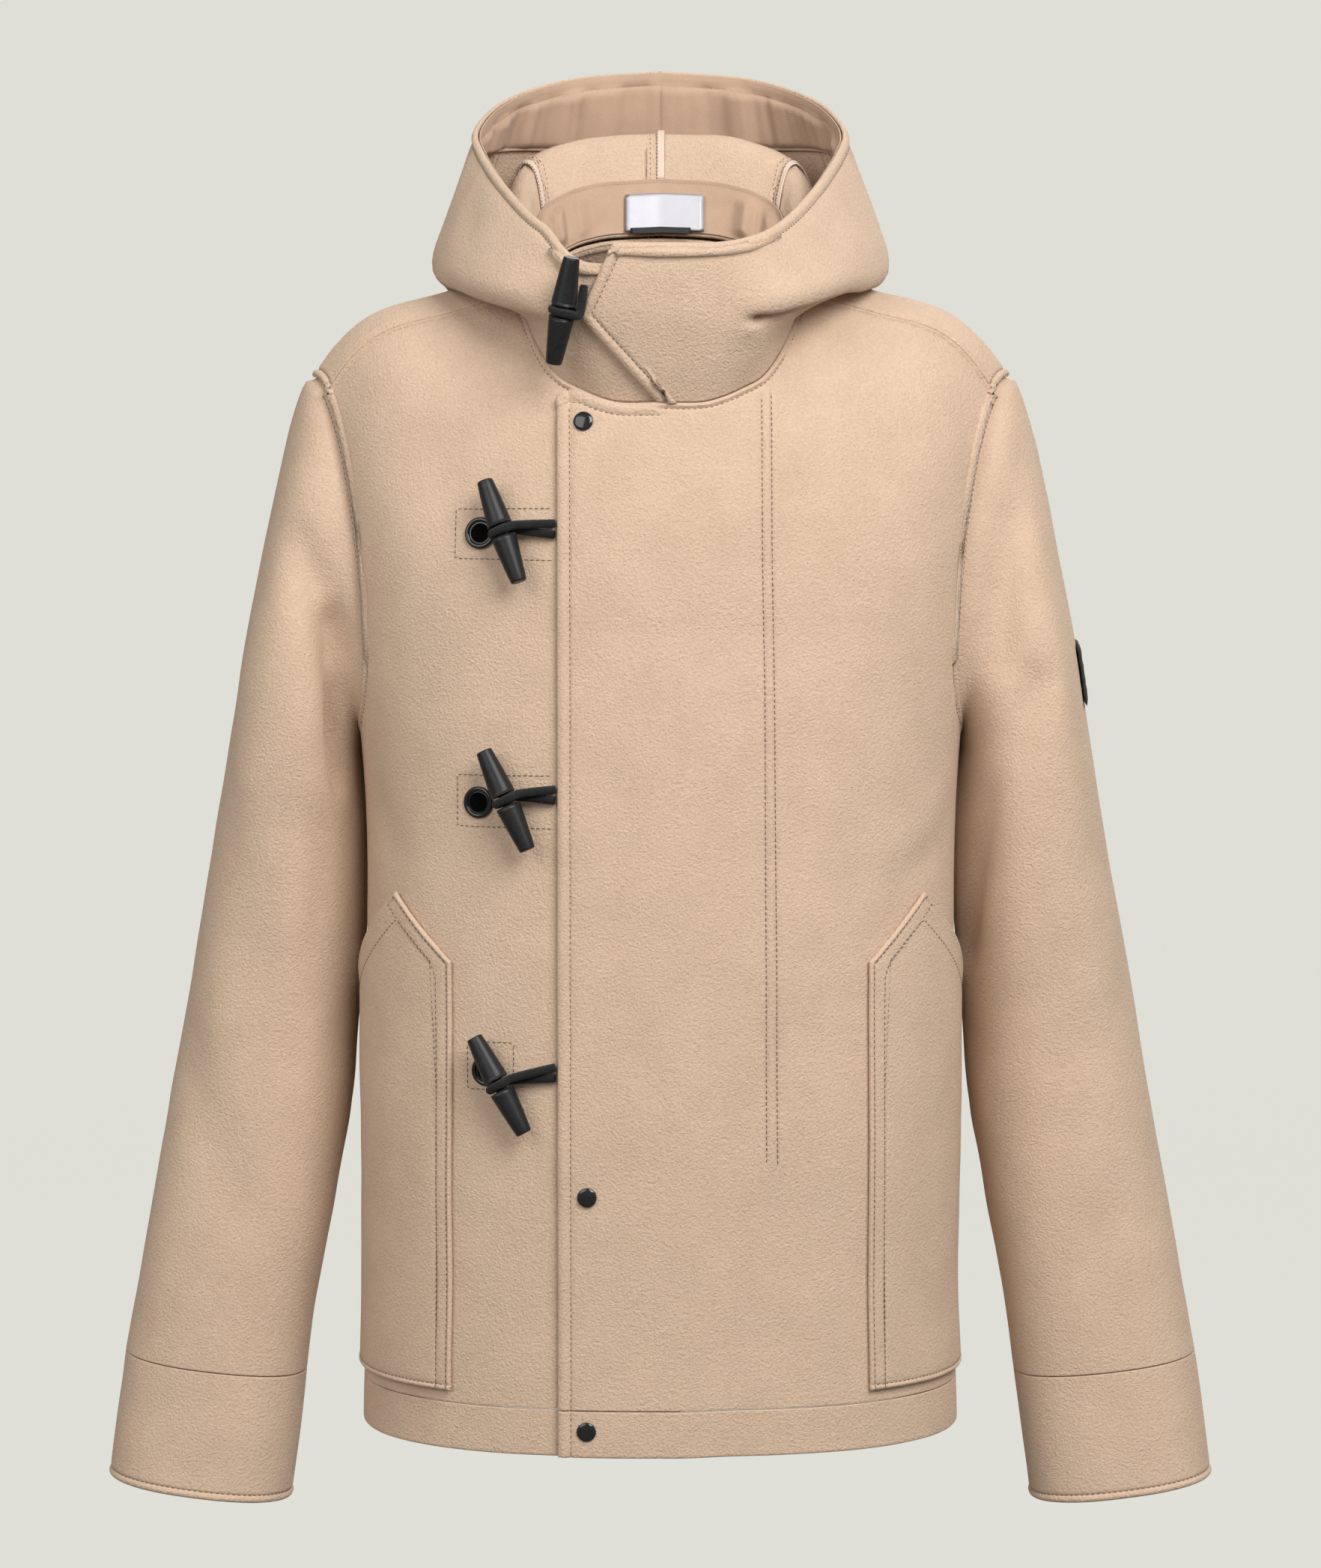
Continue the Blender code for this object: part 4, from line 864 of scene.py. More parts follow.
def hoodHeight(points):
    height = rolling(points, 0.060, 0.0010, 21.3) + rolling(points, 0.022, 0.0003, 5.2)
    for a, b, width, rise in hoodFolds:
        d, share = shareAlong(points, np.array([a, b], float) / 1000)
        ends = 0.45 + 0.55 * np.sin(np.pi * share)
        height += rise / 1000 * ends * np.exp(-(d * 1000 / width) ** 2)
    return height


def hoodPiece(name, params, surface, looks, stitched, seams=(), sewn=("low",)):
    points = surface(params)
    n = normalsOf(points)
    height = hoodHeight(points)
    borders = {"left": points[:, 0], "right": points[:, -1], "low": points[0], "high": points[-1]}
    near = {side: lineDistance(points, line) for side, line in borders.items()}
    if stitched:
        d = np.min([near[side] for side in stitched["sides"]], axis=0)
        height = height + ridgeAndGroove(d, stitched["at"], 0.0010, 0.0008, 0.0008)
    for side in seams:
        for at in hood["seamStitches"]:
            height = height - 0.0006 * np.exp(-((near[side] - at) / 0.0008) ** 2)
    points = points + n * height[..., None]
    n = normalsOf(points)
    made = shell(name, points, n, cloth["wall"], looks, sewn=sewn)
    if stitched:
        if "left" in stitched["sides"] or "right" in stitched["sides"]:
            side = "left" if "left" in stitched["sides"] else "right"
            other = near["high"]
            p, ways = lineWhere(points, n, np.where(other < stitched["at"] * 0.98, 0, near[side]), stitched["at"], 1)
            addRun(p, ways)
        d = near["high"]
        if "left" in stitched["sides"]:
            d = np.where(near["left"] < stitched["at"] * 0.98, 0, d)
        if "right" in stitched["sides"]:
            d = np.where(near["right"] < stitched["at"] * 0.98, 0, d)
        p, ways = lineWhere(points[::-1], n[::-1], d[::-1], stitched["at"], 0)
        addRun(p, ways)
    for side in seams:
        for at in hood["seamStitches"]:
            flip = slice(None, None, -1) if side == "right" else slice(None)
            p, ways = lineWhere(points[:, flip], n[:, flip], near[side][:, flip], at, 1)
            addRun(p, ways)
            addRun(p - ways * (cloth["wall"] - 0.0002), -ways)
    return made


def makeHood(looks, jersey, tape):
    made = {}
    space = hood["spacing"]
    levels = hoodLevels(45, space)
    # the right side, which runs on under the collar flap
    columns = np.unique(np.concatenate([-np.linspace(131.91, 20, 66), np.linspace(-18, hood["under"], 13)]))
    params = np.stack(np.broadcast_arrays(columns[None, :], levels[:, None]), axis=-1)
    surface = hoodSurface(rightFront=True)
    params = addLines(params, surface, "high", stitchedEdge(hood["rimStitch"]))
    params = addLines(params, surface, "low", edgeLines)
    params = addLines(params, surface, "left", stitchedEdge(*hood["seamStitches"]))
    params = addLines(params, surface, "right", edgeLines)
    made["hood_side_right"] = hoodPiece("hoodSideRight", params, surface, looks,
                                        {"sides": ["high"], "at": hood["rimStitch"]}, sewn=("low", "left"))
    # the left side, whose front closes over the right one
    low, high = hood["creaseLevels"]
    levels = np.concatenate([levels[levels < low], np.linspace(low, high, 22), levels[levels > high]])
    edge = collarAngle(levels)
    share = np.linspace(0, 1, 14)[None, :]
    front = edge[:, None] * (1 - share) + 20 * share
    rest = np.linspace(20, 131.91, 66)[None, 1:] + 0 * edge[:, None]
    params = np.concatenate([front, rest], axis=1)
    params = np.stack([params, levels[:, None] + 0 * params], axis=-1)
    surface = hoodSurface(collar=True)
    params = addLines(params, surface, "high", stitchedEdge(hood["collarStitch"]))
    params = addLines(params, surface, "low", edgeLines)
    params = addLines(params, surface, "left", np.concatenate([edgeLines, np.arange(0.0036, 0.0130, 0.0009)]))
    params = addLines(params, surface, "right", stitchedEdge(*hood["seamStitches"]))
    made["hood_side_left"] = hoodPiece("hoodSideLeft", params, surface, looks,
                                       {"sides": ["left", "high"], "at": hood["collarStitch"]}, sewn=("low", "right"))
    # the two back panels
    levels = hoodLevels(156, space)
    for name, first, last in (("Left", 132.09, 179.91), ("Right", -179.91, -132.09)):
        columns = np.linspace(first, last, 34)
        params = np.stack(np.broadcast_arrays(columns[None, :], levels[:, None]), axis=-1)
        surface = hoodSurface()
        params = addLines(params, surface, "high", stitchedEdge(hood["rimStitch"]))
        params = addLines(params, surface, "low", edgeLines)
        for side in ("left", "right"):
            params = addLines(params, surface, side, stitchedEdge(*hood["seamStitches"]))
        seams = ["left", "right"] if name == "Right" else ["left"]
        made["hood_back_" + name.lower()] = hoodPiece("hoodBack" + name, params, surface, looks,
                                                      {"sides": ["high"], "at": hood["rimStitch"]}, seams,
                                                      ("low", "left", "right"))
    made.update(makeHoodInside(jersey, tape))
    return made


lining = {
    "rim": (0.900, 0.9985), "neck": (0.004, 0.067), "tapeHalf": 0.0027, "tapeLevels": (0.064, 0.315),
    "labelHalf": 25.0, "leastMiddle": 0.004, "middleRows": 16, "pucker": 0.0052, "rimStitchDown": 0.0082, "edgeStitch": 0.0022,
}


def insideOf(params, depth):       # a place on the inner face of the hood's finished wool, and further in
    surface = hoodSurface()
    points = surface(params)
    n = normalsOf(points)
    points = points + n * hoodHeight(points)[..., None]
    n = normalsOf(points)
    return points - n * (cloth["wall"] + depth), -n


def facingRows(params, run):      # rows at set distances from both edges, and even ones between them
    low = np.concatenate([[0.0], stitchedEdge(lining["edgeStitch"], fine=0.0005)])
    high = np.concatenate([[0.0], stitchedEdge(lining["rimStitchDown"])])
    columns = []
    for j in range(params.shape[1]):
        width = run[-1, j]
        size = min(1.0, width / (low[-1] + high[-1] + lining["leastMiddle"]))
        between = np.linspace(low[-1] * size, width - high[-1] * size, lining["middleRows"])[1:-1]
        at = np.concatenate([low * size, between, width - high[::-1] * size])
        columns.append(np.stack([np.interp(at, run[:, j], params[:, j, c]) for c in range(2)], axis=-1))
    return np.stack(columns, axis=1)


def makeHoodInside(jersey, tape):
    made = {}
    # the smooth facing round the rim, with small puckers between its two rows of stitches
    for node, name, span, sweep, seed in (("hood_rim_facing", "rimFacing", lining["rim"], (56, 304), 2.0),
                                          ("neck_facing", "neckFacing", lining["neck"], (97, 263), 7.0)):
        columns = np.linspace(*sweep, int((sweep[1] - sweep[0]) * 1.4))
        levels = np.linspace(*span, 60)
        params = np.stack(np.broadcast_arrays(columns[None, :], levels[:, None]), axis=-1)
        plain = hoodSurface()
        params = facingRows(params, lengths(plain(params), 0))
        params = addLines(params, plain, "left", edgeLines)
        params = addLines(params, plain, "right", edgeLines)
        points, n = insideOf(params, 0.0003)
        low, high = lineDistance(points, points[0]), lineDistance(points, points[-1])
        angle = params[..., 0]
        middle = smoothStep(low / 0.006) * smoothStep((high - 0.004) / 0.008)
        wave = np.array([noise.noise(Vector((a * 0.11, seed, 0))) for a in angle[0]])[None, :]
        wave = 0.5 + 0.5 * np.clip(wave * 2.4, -1, 1)
        fine = np.array([noise.noise(Vector((a * 0.33, seed + 4, 0))) for a in angle[0]])[None, :]
        ends = smoothStep((angle - sweep[0]) / 8) * smoothStep((sweep[1] - angle) / 8)
        if node == "neck_facing":       # flat behind the label
            ends = ends * smoothStep((np.abs(angle - 180) - lining["labelHalf"]) / 8)
        out = lining["pucker"] * middle * ends * (wave + 0.30 * fine + 0.2)
        if node == "hood_rim_facing":
            out = out + ridgeAndGroove(high, lining["rimStitchDown"], 0.0010, 0.0006, 0.0007)
            edge = low
        else:
            edge = high
        out = out + 0.0009 * np.exp(-((edge - 0.0009) / 0.0008) ** 2)      # rolled edge
        out = out - 0.0003 * np.exp(-((edge - lining["edgeStitch"]) / 0.0005) ** 2)
        thick = cloth["thin"]
        outer = points + n * (np.maximum(out, 0.0) + thick)[..., None]
        flipped = outer[:, ::-1]
        fresh = normalsOf(flipped)
        made[node] = shell(name, flipped, fresh, thick, jersey)
        at = lining["edgeStitch"]
        which = edge[:, ::-1]
        if node == "hood_rim_facing":
            p, ways = lineWhere(flipped, fresh, which, at, 0)
            addRun(p, ways, length=0.0016, pitch=0.0026, radius=0.00024, looks="pale")
            p, ways = lineWhere(flipped[::-1], fresh[::-1], high[::-1, ::-1], lining["rimStitchDown"], 0)
            addRun(p, ways, length=0.0016, pitch=0.0026, radius=0.00024, looks="pale")
        else:
            p, ways = lineWhere(flipped[::-1], fresh[::-1], which[::-1], at, 0)
            addRun(p, ways, length=0.0016, pitch=0.0026, radius=0.00024, looks="pale")
    # tapes over the seams
    for side, middle in (("left", 132.0), ("middle", 180.0), ("right", 228.0)):
        half = {"left": 3.6, "middle": 4.6, "right": 3.6}[side]
        levels = np.linspace(*lining["tapeLevels"], 46)
        columns = np.linspace(middle - half, middle + half, 9)
        params = np.stack(np.broadcast_arrays(columns[None, :], levels[:, None]), axis=-1)
        points, n = insideOf(params, 0.0003)
        centre = points[:, 4:5]
        across = points[:, -1:] - points[:, :1]
        across /= np.linalg.norm(across, axis=-1, keepdims=True)
        shift = np.linspace(-1, 1, 9)[None, :, None] * lining["tapeHalf"]
        points = centre + across * shift
        n = np.repeat(n[:, 4:5], 9, axis=1)
        outer = (points + n * (cloth["thin"] + 0.0002))[:, ::-1]
        made["hood_tape_" + side] = shell("hoodTape" + side.capitalize(), outer, normalsOf(outer), 0.0008, tape)
        addRun(outer[:, 1], n[:, 1], length=0.0017, pitch=0.0024)
    return made


def makeLabel(white, dark):
    made = {}
    for node, name, half, low, high, looks, depth in (("neck_label", "neckLabel", 0.0250, 0.0055, 0.0500, white, 0.0030),
                                                      ("neck_tab", "neckTab", 0.0190, 0.0008, 0.0100, dark, 0.0036)):
        levels = np.linspace(low, high, 12)
        columns = np.linspace(158, 202, 40)
        params = np.stack(np.broadcast_arrays(columns[None, :], levels[:, None]), axis=-1)
        points, n = insideOf(params, cloth["thin"] + depth - 0.0010)
        x = np.linspace(-half, half, 18)
        centre = 0.0025 if node == "neck_label" else 0.0
        fixed = np.empty((len(levels), len(x), 3))
        for i in range(len(levels)):
            order = np.argsort(points[i, :, 0])
            for c in range(3):
                fixed[i, :, c] = np.interp(x + centre, points[i, order, 0], points[i, order, c])
        outer = fixed + np.array([0, -1.0, 0]) * 0.0008
        fresh = normalsOf(outer)
        if fresh[..., 1].mean() > 0:
            outer = outer[:, ::-1]
            fresh = normalsOf(outer)
        made[node] = shell(name, outer, fresh, 0.0005, looks)
        if node == "neck_label":
            addRun(outer[:, 1], fresh[:, 1], length=0.0011, pitch=0.0018, radius=0.00012, looks="pale")
            addRun(outer[:, -2], fresh[:, -2], length=0.0011, pitch=0.0018, radius=0.00012, looks="pale")
    return made


# ---- pockets

pocket = {
    "angles": [38.3, 47.3, 56.4, 63.5, 70.5, 77.0, 83.5, 90.0, 96.5, 103.0], "apex": 56.4,
    "frontTop": -0.402, "apexTop": -0.362, "backTop": -0.454, "bottom": -0.6665,
    "lift": 0.0006, "puff": 0.0025, "stitches": (0.0036, 0.0112), "mouthStitch": 0.0140,
}


def pocketTop(angle):
    first, last = pocket["angles"][0], pocket["angles"][-1]
    return np.interp(angle, [first, pocket["apex"], last], [pocket["frontTop"], pocket["apexTop"], pocket["backTop"]])


def makePockets(looks):
    made = {}
    for side, sign in (("left", 1), ("right", -1)):
        first, apex, last = pocket["angles"][0], pocket["apex"], pocket["angles"][-1]
        angles = np.unique(np.concatenate([np.linspace(first, apex, 16), np.linspace(apex, last, 36)]))
        shares = np.linspace(0, 1, 56)

        def surface(params):
            angle, share = np.radians(params[..., 0]), params[..., 1]
            top = pocketTop(params[..., 0])
            z = pocket["bottom"] + (top - pocket["bottom"]) * share
            points = levelPoint(angle, z)
            step = 0.004
            n = np.cross(levelPoint(angle + step, z) - levelPoint(angle - step, z),
                         levelPoint(angle, z + step) - levelPoint(angle, z - step))
            n /= np.linalg.norm(n, axis=-1, keepdims=True)
            flipped = points * np.array([sign, 1, 1])
            n = n * np.array([sign, 1, 1])
            mouth = np.sin(np.pi * smoothStep((params[..., 0] - 46) / 58)) * smoothStep((share - 0.4) / 0.6)
            out = pocket["lift"] + pocket["puff"] * mouth + cloth["wall"] + bodyHeight(flipped)
            return flipped + n * out[..., None]

        params = np.stack(np.broadcast_arrays(angles[None, :], shares[:, None]), axis=-1)
        params = addLines(params, surface, "left", stitchedEdge(*pocket["stitches"]))
        params = addLines(params, surface, "low", stitchedEdge(pocket["stitches"][0]))
        params = addLines(params, surface, "high", stitchedEdge(*pocket["stitches"]))
        params = addLines(params, surface, "right", edgeLines)
        points = surface(params)
        n = normalsOf(points)
        if sign < 0:
            n = -n
        topRow, angleRow = points[-1], params[-1, :, 0]
        front = np.concatenate([points[:, 0], topRow[angleRow <= apex]])
        mouth = topRow[angleRow >= apex]
        dFront, dMouth, dLow = lineDistance(points, front), lineDistance(points, mouth), lineDistance(points, points[0])
        one, two = pocket["stitches"]
        height = ridgeAndGroove(dFront, one, 0.0007, 0.0006) - 0.0006 * np.exp(-((dFront - two) / 0.0008) ** 2)
        height += ridgeAndGroove(dLow, one, 0.0004, 0.0006)
        beyond = smoothStep((dFront - two) / 0.002)
        height += (-0.0006 * np.exp(-((dMouth - pocket["mouthStitch"]) / 0.0008) ** 2)
                   + 0.0006 * np.exp(-(dMouth / 0.004) ** 2)) * beyond
        points = points + n * height[..., None]
        if sign < 0:
            points, n, dFront, dMouth, dLow = (a[:, ::-1] for a in (points, n, dFront, dMouth, dLow))
        n = normalsOf(points)
        made["pocket_" + side] = shell("pocket" + side.capitalize(), points, n, cloth["wall"], looks)
        flip = slice(None, None, -1) if sign < 0 else slice(None)
        for at in (one, two):
            p, ways = lineWhere(points[:, flip], n[:, flip], dFront[:, flip], at, 1)
            lower = dLow[:, flip]
            addRun(p, ways)
            addTopRun(points, n, dFront, at, params, sign)
        p, ways = lineWhere(points[::-1], n[::-1], np.where(dFront < two, 0, dMouth)[::-1], pocket["mouthStitch"], 0)
        if len(p):
            addRun(p, ways)
        p, ways = lineWhere(points, n, np.where(dFront < one, 0, dLow), one, 0)
        addRun(p, ways)
    return made


def addTopRun(points, n, distance, at, params, sign):
    angle = params[:, :, 0][:, ::-1] if sign < 0 else params[:, :, 0]
    columns = np.nonzero((angle[-1] < pocket["apex"] - 1) & (angle[-1] > pocket["angles"][0]))[0]
    p, ways = lineWhere(points[::-1][:, columns], n[::-1][:, columns], distance[::-1][:, columns], at, 0)
    if len(p):
        order = np.argsort(p[:, 2])
        keep = p[order][:, 2] > pocket["frontTop"] - 0.004
        addRun(p[order][keep], ways[order][keep])


# ---- toggles, cords, eyelets and snaps

hardware = {
    "toggle": {"length": 0.0655, "wide": 0.0077, "end": 0.0049, "groove": 0.0032, "grooveHalf": 0.0036, "stand": 0.0115},
    "cord": {"radius": 0.0027, "loop": 0.0062, "start": 0.0042},
    "eyelet": {"outer": 0.0097, "inner": 0.0067, "high": 0.0016},
    "snap": {"radius": 0.0059, "high": 0.0017},
    "toggles": [("chest", -0.0925, -0.1420, 21.5, -0.1088, -0.1420, -0.1362, -0.1428),
                ("waist", -0.0900, -0.3020, 26.0, -0.1100, -0.3045, -0.2955, -0.3020),
                ("hip", -0.0940, -0.4745, 30.5, -0.1055, -0.4675, -0.4635, -0.4700)],
    "collar": (-0.0565, -0.0065, -11.6), "collarCords": (0.0060, -0.0085),
    "snaps": [("top", -0.0464, -0.0748), ("low", -0.0444, -0.5424), ("hem", -0.0450, -0.6865)],
}


def frontFrame(x, z):       # a point of the front's plain surface, and the direction outward
    def depth(x, z):
        if z <= body["chest"]:
            return float(levelPoint(angleOf(x, z), np.array(z))[1])
        half, front, _ = bodySection(np.array(body["chest"]))
        rise = (z - body["chest"]) / (float(ridgeHeight(abs(x))) - body["chest"])
        return -float(front) * (1 - (abs(x) / float(half)) ** body["shape"]) ** (1 / body["shape"]) * math.sqrt(1 - rise * rise)
    step = 0.002
    n = np.cross([2 * step, depth(x + step, z) - depth(x - step, z), 0.0],
                 [0.0, depth(x, z + step) - depth(x, z - step), 2 * step])
    return np.array([x, depth(x, z), z]), n / np.linalg.norm(n)


def hoodFrame(angle, level):
    across = hoodPoint(angle + 0.5, level) - hoodPoint(angle - 0.5, level)
    along = hoodPoint(angle, level + 0.01) - hoodPoint(angle, level - 0.01)
    n = np.cross(across, along)
    return hoodPoint(angle, level), n / np.linalg.norm(n)


def collarPlace(x, z):
    angle, level = -30.0, 0.5
    for _ in range(60):
        p = hoodPoint(angle, level)
        angle += (x - p[0]) * 380
        level += (z - p[2]) * 4.0
    return angle, level


def leanAxis(lean, out):
    tilt = math.radians(lean)
    axis = np.array([-math.sin(tilt), 0.0, math.cos(tilt)])
    axis = axis - out * np.dot(axis, out)
    return axis / np.linalg.norm(axis)


def lathe(name, profile, sides, place, axis, looks, squash=None):      # profile of (radius, distance along)
    axis = axis / np.linalg.norm(axis)
    up = np.array([0, 0, 1.0]) if abs(axis[2]) < 0.9 else np.array([1.0, 0, 0])
    side = np.cross(up, axis)
    side /= np.linalg.norm(side)
    up = np.cross(axis, side)
    turn = np.linspace(0, 2 * math.pi, sides, endpoint=False)
    profile = np.array(profile)
    ring = np.cos(turn)[:, None] * side + np.sin(turn)[:, None] * up
    points = place + profile[:, 1][:, None, None] * axis + profile[:, 0][:, None, None] * ring[None]
    index = np.arange(len(profile) * sides).reshape(len(profile), sides)
    index = np.hstack([index, index[:, :1]])
    quads = np.stack([index[:-1, :-1], index[:-1, 1:], index[1:, 1:], index[1:, :-1]], axis=-1).reshape(-1, 4)
    return addMesh(name, points.reshape(-1, 3), quads, looks)


def arc(cx, cy, r, first, last, count):
    turn = np.radians(np.linspace(first, last, count))
    return [(cx + r * math.cos(t), cy + r * math.sin(t)) for t in turn]


def toggleProfile():
    t = hardware["toggle"]
    half, top = t["length"] / 2, 0.0010
    one = [(0.00005, half), (0.0020, half)] + [(r, h) for r, h in arc(t["end"] - top, half - top, top, 90, 8, 7)]
    for share in np.linspace(0, 1, 15)[1:]:
        swell = t["end"] + (t["wide"] - t["end"]) * share ** 0.86
        one.append((swell, half - 0.0012 + (t["grooveHalf"] + 0.0005 - half + 0.0012) * share))
    one += [(r, h) for r, h in arc(t["wide"] - 0.0005, t["grooveHalf"] + 0.0005, 0.0005, 0, -90, 5)]
    one += [(t["groove"] + 0.0006, t["grooveHalf"]), (t["groove"] + 0.0001, t["grooveHalf"] - 0.0004), (t["groove"], 0.0)]
    return [(r, -h) for r, h in reversed(one)][1:][::-1] + [(r, h) for r, h in reversed(one)]


def cordPath(middle, axis, out, ends, count):
    toward = np.cross(axis, out)
    if toward[0] < 0:
        toward = -toward
    r = hardware["cord"]["loop"]
    first, last = ends
    over = [middle + (toward * 1.7 + out * 0.2) * r, middle + (toward * 0.7 + out) * r]
    turn = [middle + toward * r * math.cos(a) + out * r * math.sin(a) for a in np.radians((90, 135, 180, 225, 270))]
    controls = np.array([first] + over + turn + [middle + (toward * 0.7 - out * 1.05) * r, last])
    keys = np.concatenate([[0], np.cumsum(np.linalg.norm(np.diff(controls, axis=0), axis=1) ** 0.5)])
    return curveThrough(keys, controls, np.linspace(0, keys[-1], count))


def braidedTube(name, path, radius, looks, sides=30):
    tangent = np.gradient(path, axis=0)
    tangent /= np.linalg.norm(tangent, axis=1, keepdims=True)
    side = np.cross(tangent[0], [0.0, 0.0, 1.0])
    side /= np.linalg.norm(side)
    frames = []
    for t in tangent:
        side = side - t * np.dot(side, t)
        side /= np.linalg.norm(side)
        frames.append((side, np.cross(t, side)))
    run = lengths(path, 0)
    turn = np.linspace(0, 2 * math.pi, sides, endpoint=False)
    pitch, strands = 0.0105, 5
    phase = 2 * math.pi * run[:, None] / pitch
    crossing = np.cos(strands * turn[None, :] + strands * phase) * np.cos(strands * turn[None, :] - strands * phase)
    size = radius * (0.93 + 0.085 * crossing)
    grid = np.array([p + s[:, None] * (np.cos(turn)[:, None] * a + np.sin(turn)[:, None] * b)
                     for p, s, (a, b) in zip(path, size, frames)])
    index = np.arange(grid.shape[0] * sides).reshape(-1, sides)
    index = np.hstack([index, index[:, :1]])
    quads = np.stack([index[:-1, :-1], index[:-1, 1:], index[1:, 1:], index[1:, :-1]], axis=-1).reshape(-1, 4)
    return addMesh(name, grid.reshape(-1, 3), quads, looks)


def makeHardware(looks):
    made = {}
    t, c, e, s = (hardware[k] for k in ("toggle", "cord", "eyelet", "snap"))
    for name, x, z, lean, eyeX, eyeZ, cordA, cordB in hardware["toggles"]:
        base, out = frontFrame(x, z)
        middle = base + out * t["stand"]
        axis = leanAxis(lean, out)
        made["toggle_" + name] = lathe("toggle" + name.capitalize(), toggleProfile(), 56, middle, axis, looks["satin"])
        ends = []
        for height in (cordA, cordB):
            p, n = frontFrame(body["flapEdge"] - 2 * cloth["gap"], height)
            ends.append(p + n * (c["radius"] + 0.0005))
        path = cordPath(middle, axis, out, ends, 330)
        made["cord_" + name] = braidedTube("cord" + name.capitalize(), path, c["radius"], looks["braid"])
        base, out = frontFrame(eyeX, eyeZ)
        r = (e["outer"] - e["inner"]) / 2
        rim = ([(e["outer"] - 0.0002, 0.0003)] + [(a, 0.0003 + b * 0.85) for a, b in arc(e["inner"] + r, 0.0, r, 0, 180, 15)]
               + [(e["inner"] - 0.0002, 0.0004), (e["inner"] - 0.0007, 0.00035), (0.0020, 0.00035), (0.00005, 0.00035)])
        eyelet = lathe("eyelet" + name.capitalize(), rim, 72, base, out, looks["metal"])
        eyelet.data.materials.append(looks["paintedHoleShade"])
        for face in eyelet.data.polygons:       # the floor of the hole is a matt, near-black disc: painted shade standing for the dark inside of the eyelet's hole
            if (Vector(face.center) - Vector(base)).length < e["inner"] - 0.0005:
                face.material_index = 1
        made["eyelet_" + name] = eyelet
    x, z, lean = hardware["collar"]
    p, out = hoodFrame(*collarPlace(x, z))
    middle = p + out * t["stand"]
    axis = leanAxis(lean, out)
    made["toggle_collar"] = lathe("toggleCollar", toggleProfile(), 56, middle, axis, looks["satin"])
    ends = []
    heights, across = np.array(hood["collar"]).T
    for height in hardware["collarCords"]:
        p, n = hoodFrame(*collarPlace(float(np.interp(height, heights, across)) - c["start"], height))
        ends.append(p + n * (c["radius"] + 0.0006))
    made["cord_collar"] = braidedTube("cordCollar", cordPath(middle, axis, out, ends, 260), c["radius"], looks["braid"])
    for name, x, z in hardware["snaps"]:
        base, out = frontFrame(x, z)
        base = base + forward * float(flapLift(np.array(base[0]))) + out * 0.0009
        dome = [(s["radius"], -0.0006)] + arc(s["radius"] - 0.0006, 0.0002, 0.0006, 0, 80, 5)
        dome += [(s["radius"] * k, 0.0002 + s["high"] * 0.75 * math.sqrt(1 - (k * 0.93) ** 2) + 0.0001) for k in (0.86, 0.7, 0.5, 0.3, 0.12, 0.01)]
        made["snap_" + name] = lathe("snap" + name.capitalize(), dome, 48, base, out, looks["gloss"])
    return made


# ---- the thread of every row of stitches

thread = {"length": 0.0027, "pitch": 0.0035, "radius": 0.00025, "rise": 0.00018, "steps": 5}


def makeStitches(looks):
    groups = {}
    for points, normals, sizes in runs:
        groups.setdefault(sizes.get("looks", "dark"), []).append((points, normals, sizes))
    made = []
    for key, listed in groups.items():
        dots, quads, count = [], [], 0
        for points, normals, sizes in listed:
            long, pitch = sizes.get("length", thread["length"]), sizes.get("pitch", thread["pitch"])
            radius = sizes.get("radius", thread["radius"])
            run = lengths(points, 0)
            starts = np.arange(pitch * 0.3, run[-1] - long, pitch)
            if not len(starts):
                continue
            at = starts[:, None] + np.linspace(0, long, thread["steps"])[None, :]
            place = np.stack([np.interp(at, run, points[:, i]) for i in range(3)], axis=-1)
            out = np.stack([np.interp(at, run, normals[:, i]) for i in range(3)], axis=-1)
            out /= np.linalg.norm(out, axis=-1, keepdims=True)
            share = np.linspace(-1, 1, thread["steps"])
            place = place + out * (thread["rise"] * (1 - share**2) - 0.0003 * share**6)[None, :, None]
            along = place[:, -1:] - place[:, :1]
            side = np.cross(along, out)
            side /= np.maximum(np.linalg.norm(side, axis=-1, keepdims=True), 1e-12)
            thin = radius * (1 - 0.45 * share**4)
            ring = np.stack([place + thin[None, :, None] * (side * math.cos(a) + out * math.sin(a))
                             for a in np.radians((0, 72, 144, 216, 288))], axis=2)
            flat = ring.reshape(-1, 3)
            index = np.arange(len(flat)).reshape(ring.shape[:3]) + count
            index = np.concatenate([index, index[:, :, :1]], axis=2)
            q = np.stack([index[:, :-1, :-1], index[:, :-1, 1:], index[:, 1:, 1:], index[:, 1:, :-1]], axis=-1)
            dots.append(flat)
            quads.append(q.reshape(-1, 4))
            count += len(flat)
        made.append(addMesh(f"stitches{key.capitalize()}", np.concatenate(dots), np.concatenate(quads), looks[key]))
    return made


# ---- materials

def addNode(tree, kind, inputs=None, **settings):
    made = tree.nodes.new(kind)
    for key, value in settings.items():
        setattr(made, key, value)
    for key, value in (inputs or {}).items():
        if isinstance(value, bpy.types.NodeSocket):
            tree.links.new(value, made.inputs[key])
        else:
            made.inputs[key].default_value = value
    return made


def startGroup(name, outputs):
    tree = bpy.data.node_groups.new(name, "ShaderNodeTree")
    tree.interface.new_socket("Position", in_out="INPUT", socket_type="NodeSocketVector")
    for label in outputs:
        tree.interface.new_socket(label, in_out="OUTPUT", socket_type="NodeSocketFloat")
    return tree, tree.nodes.new("NodeGroupInput").outputs["Position"], tree.nodes.new("NodeGroupOutput")


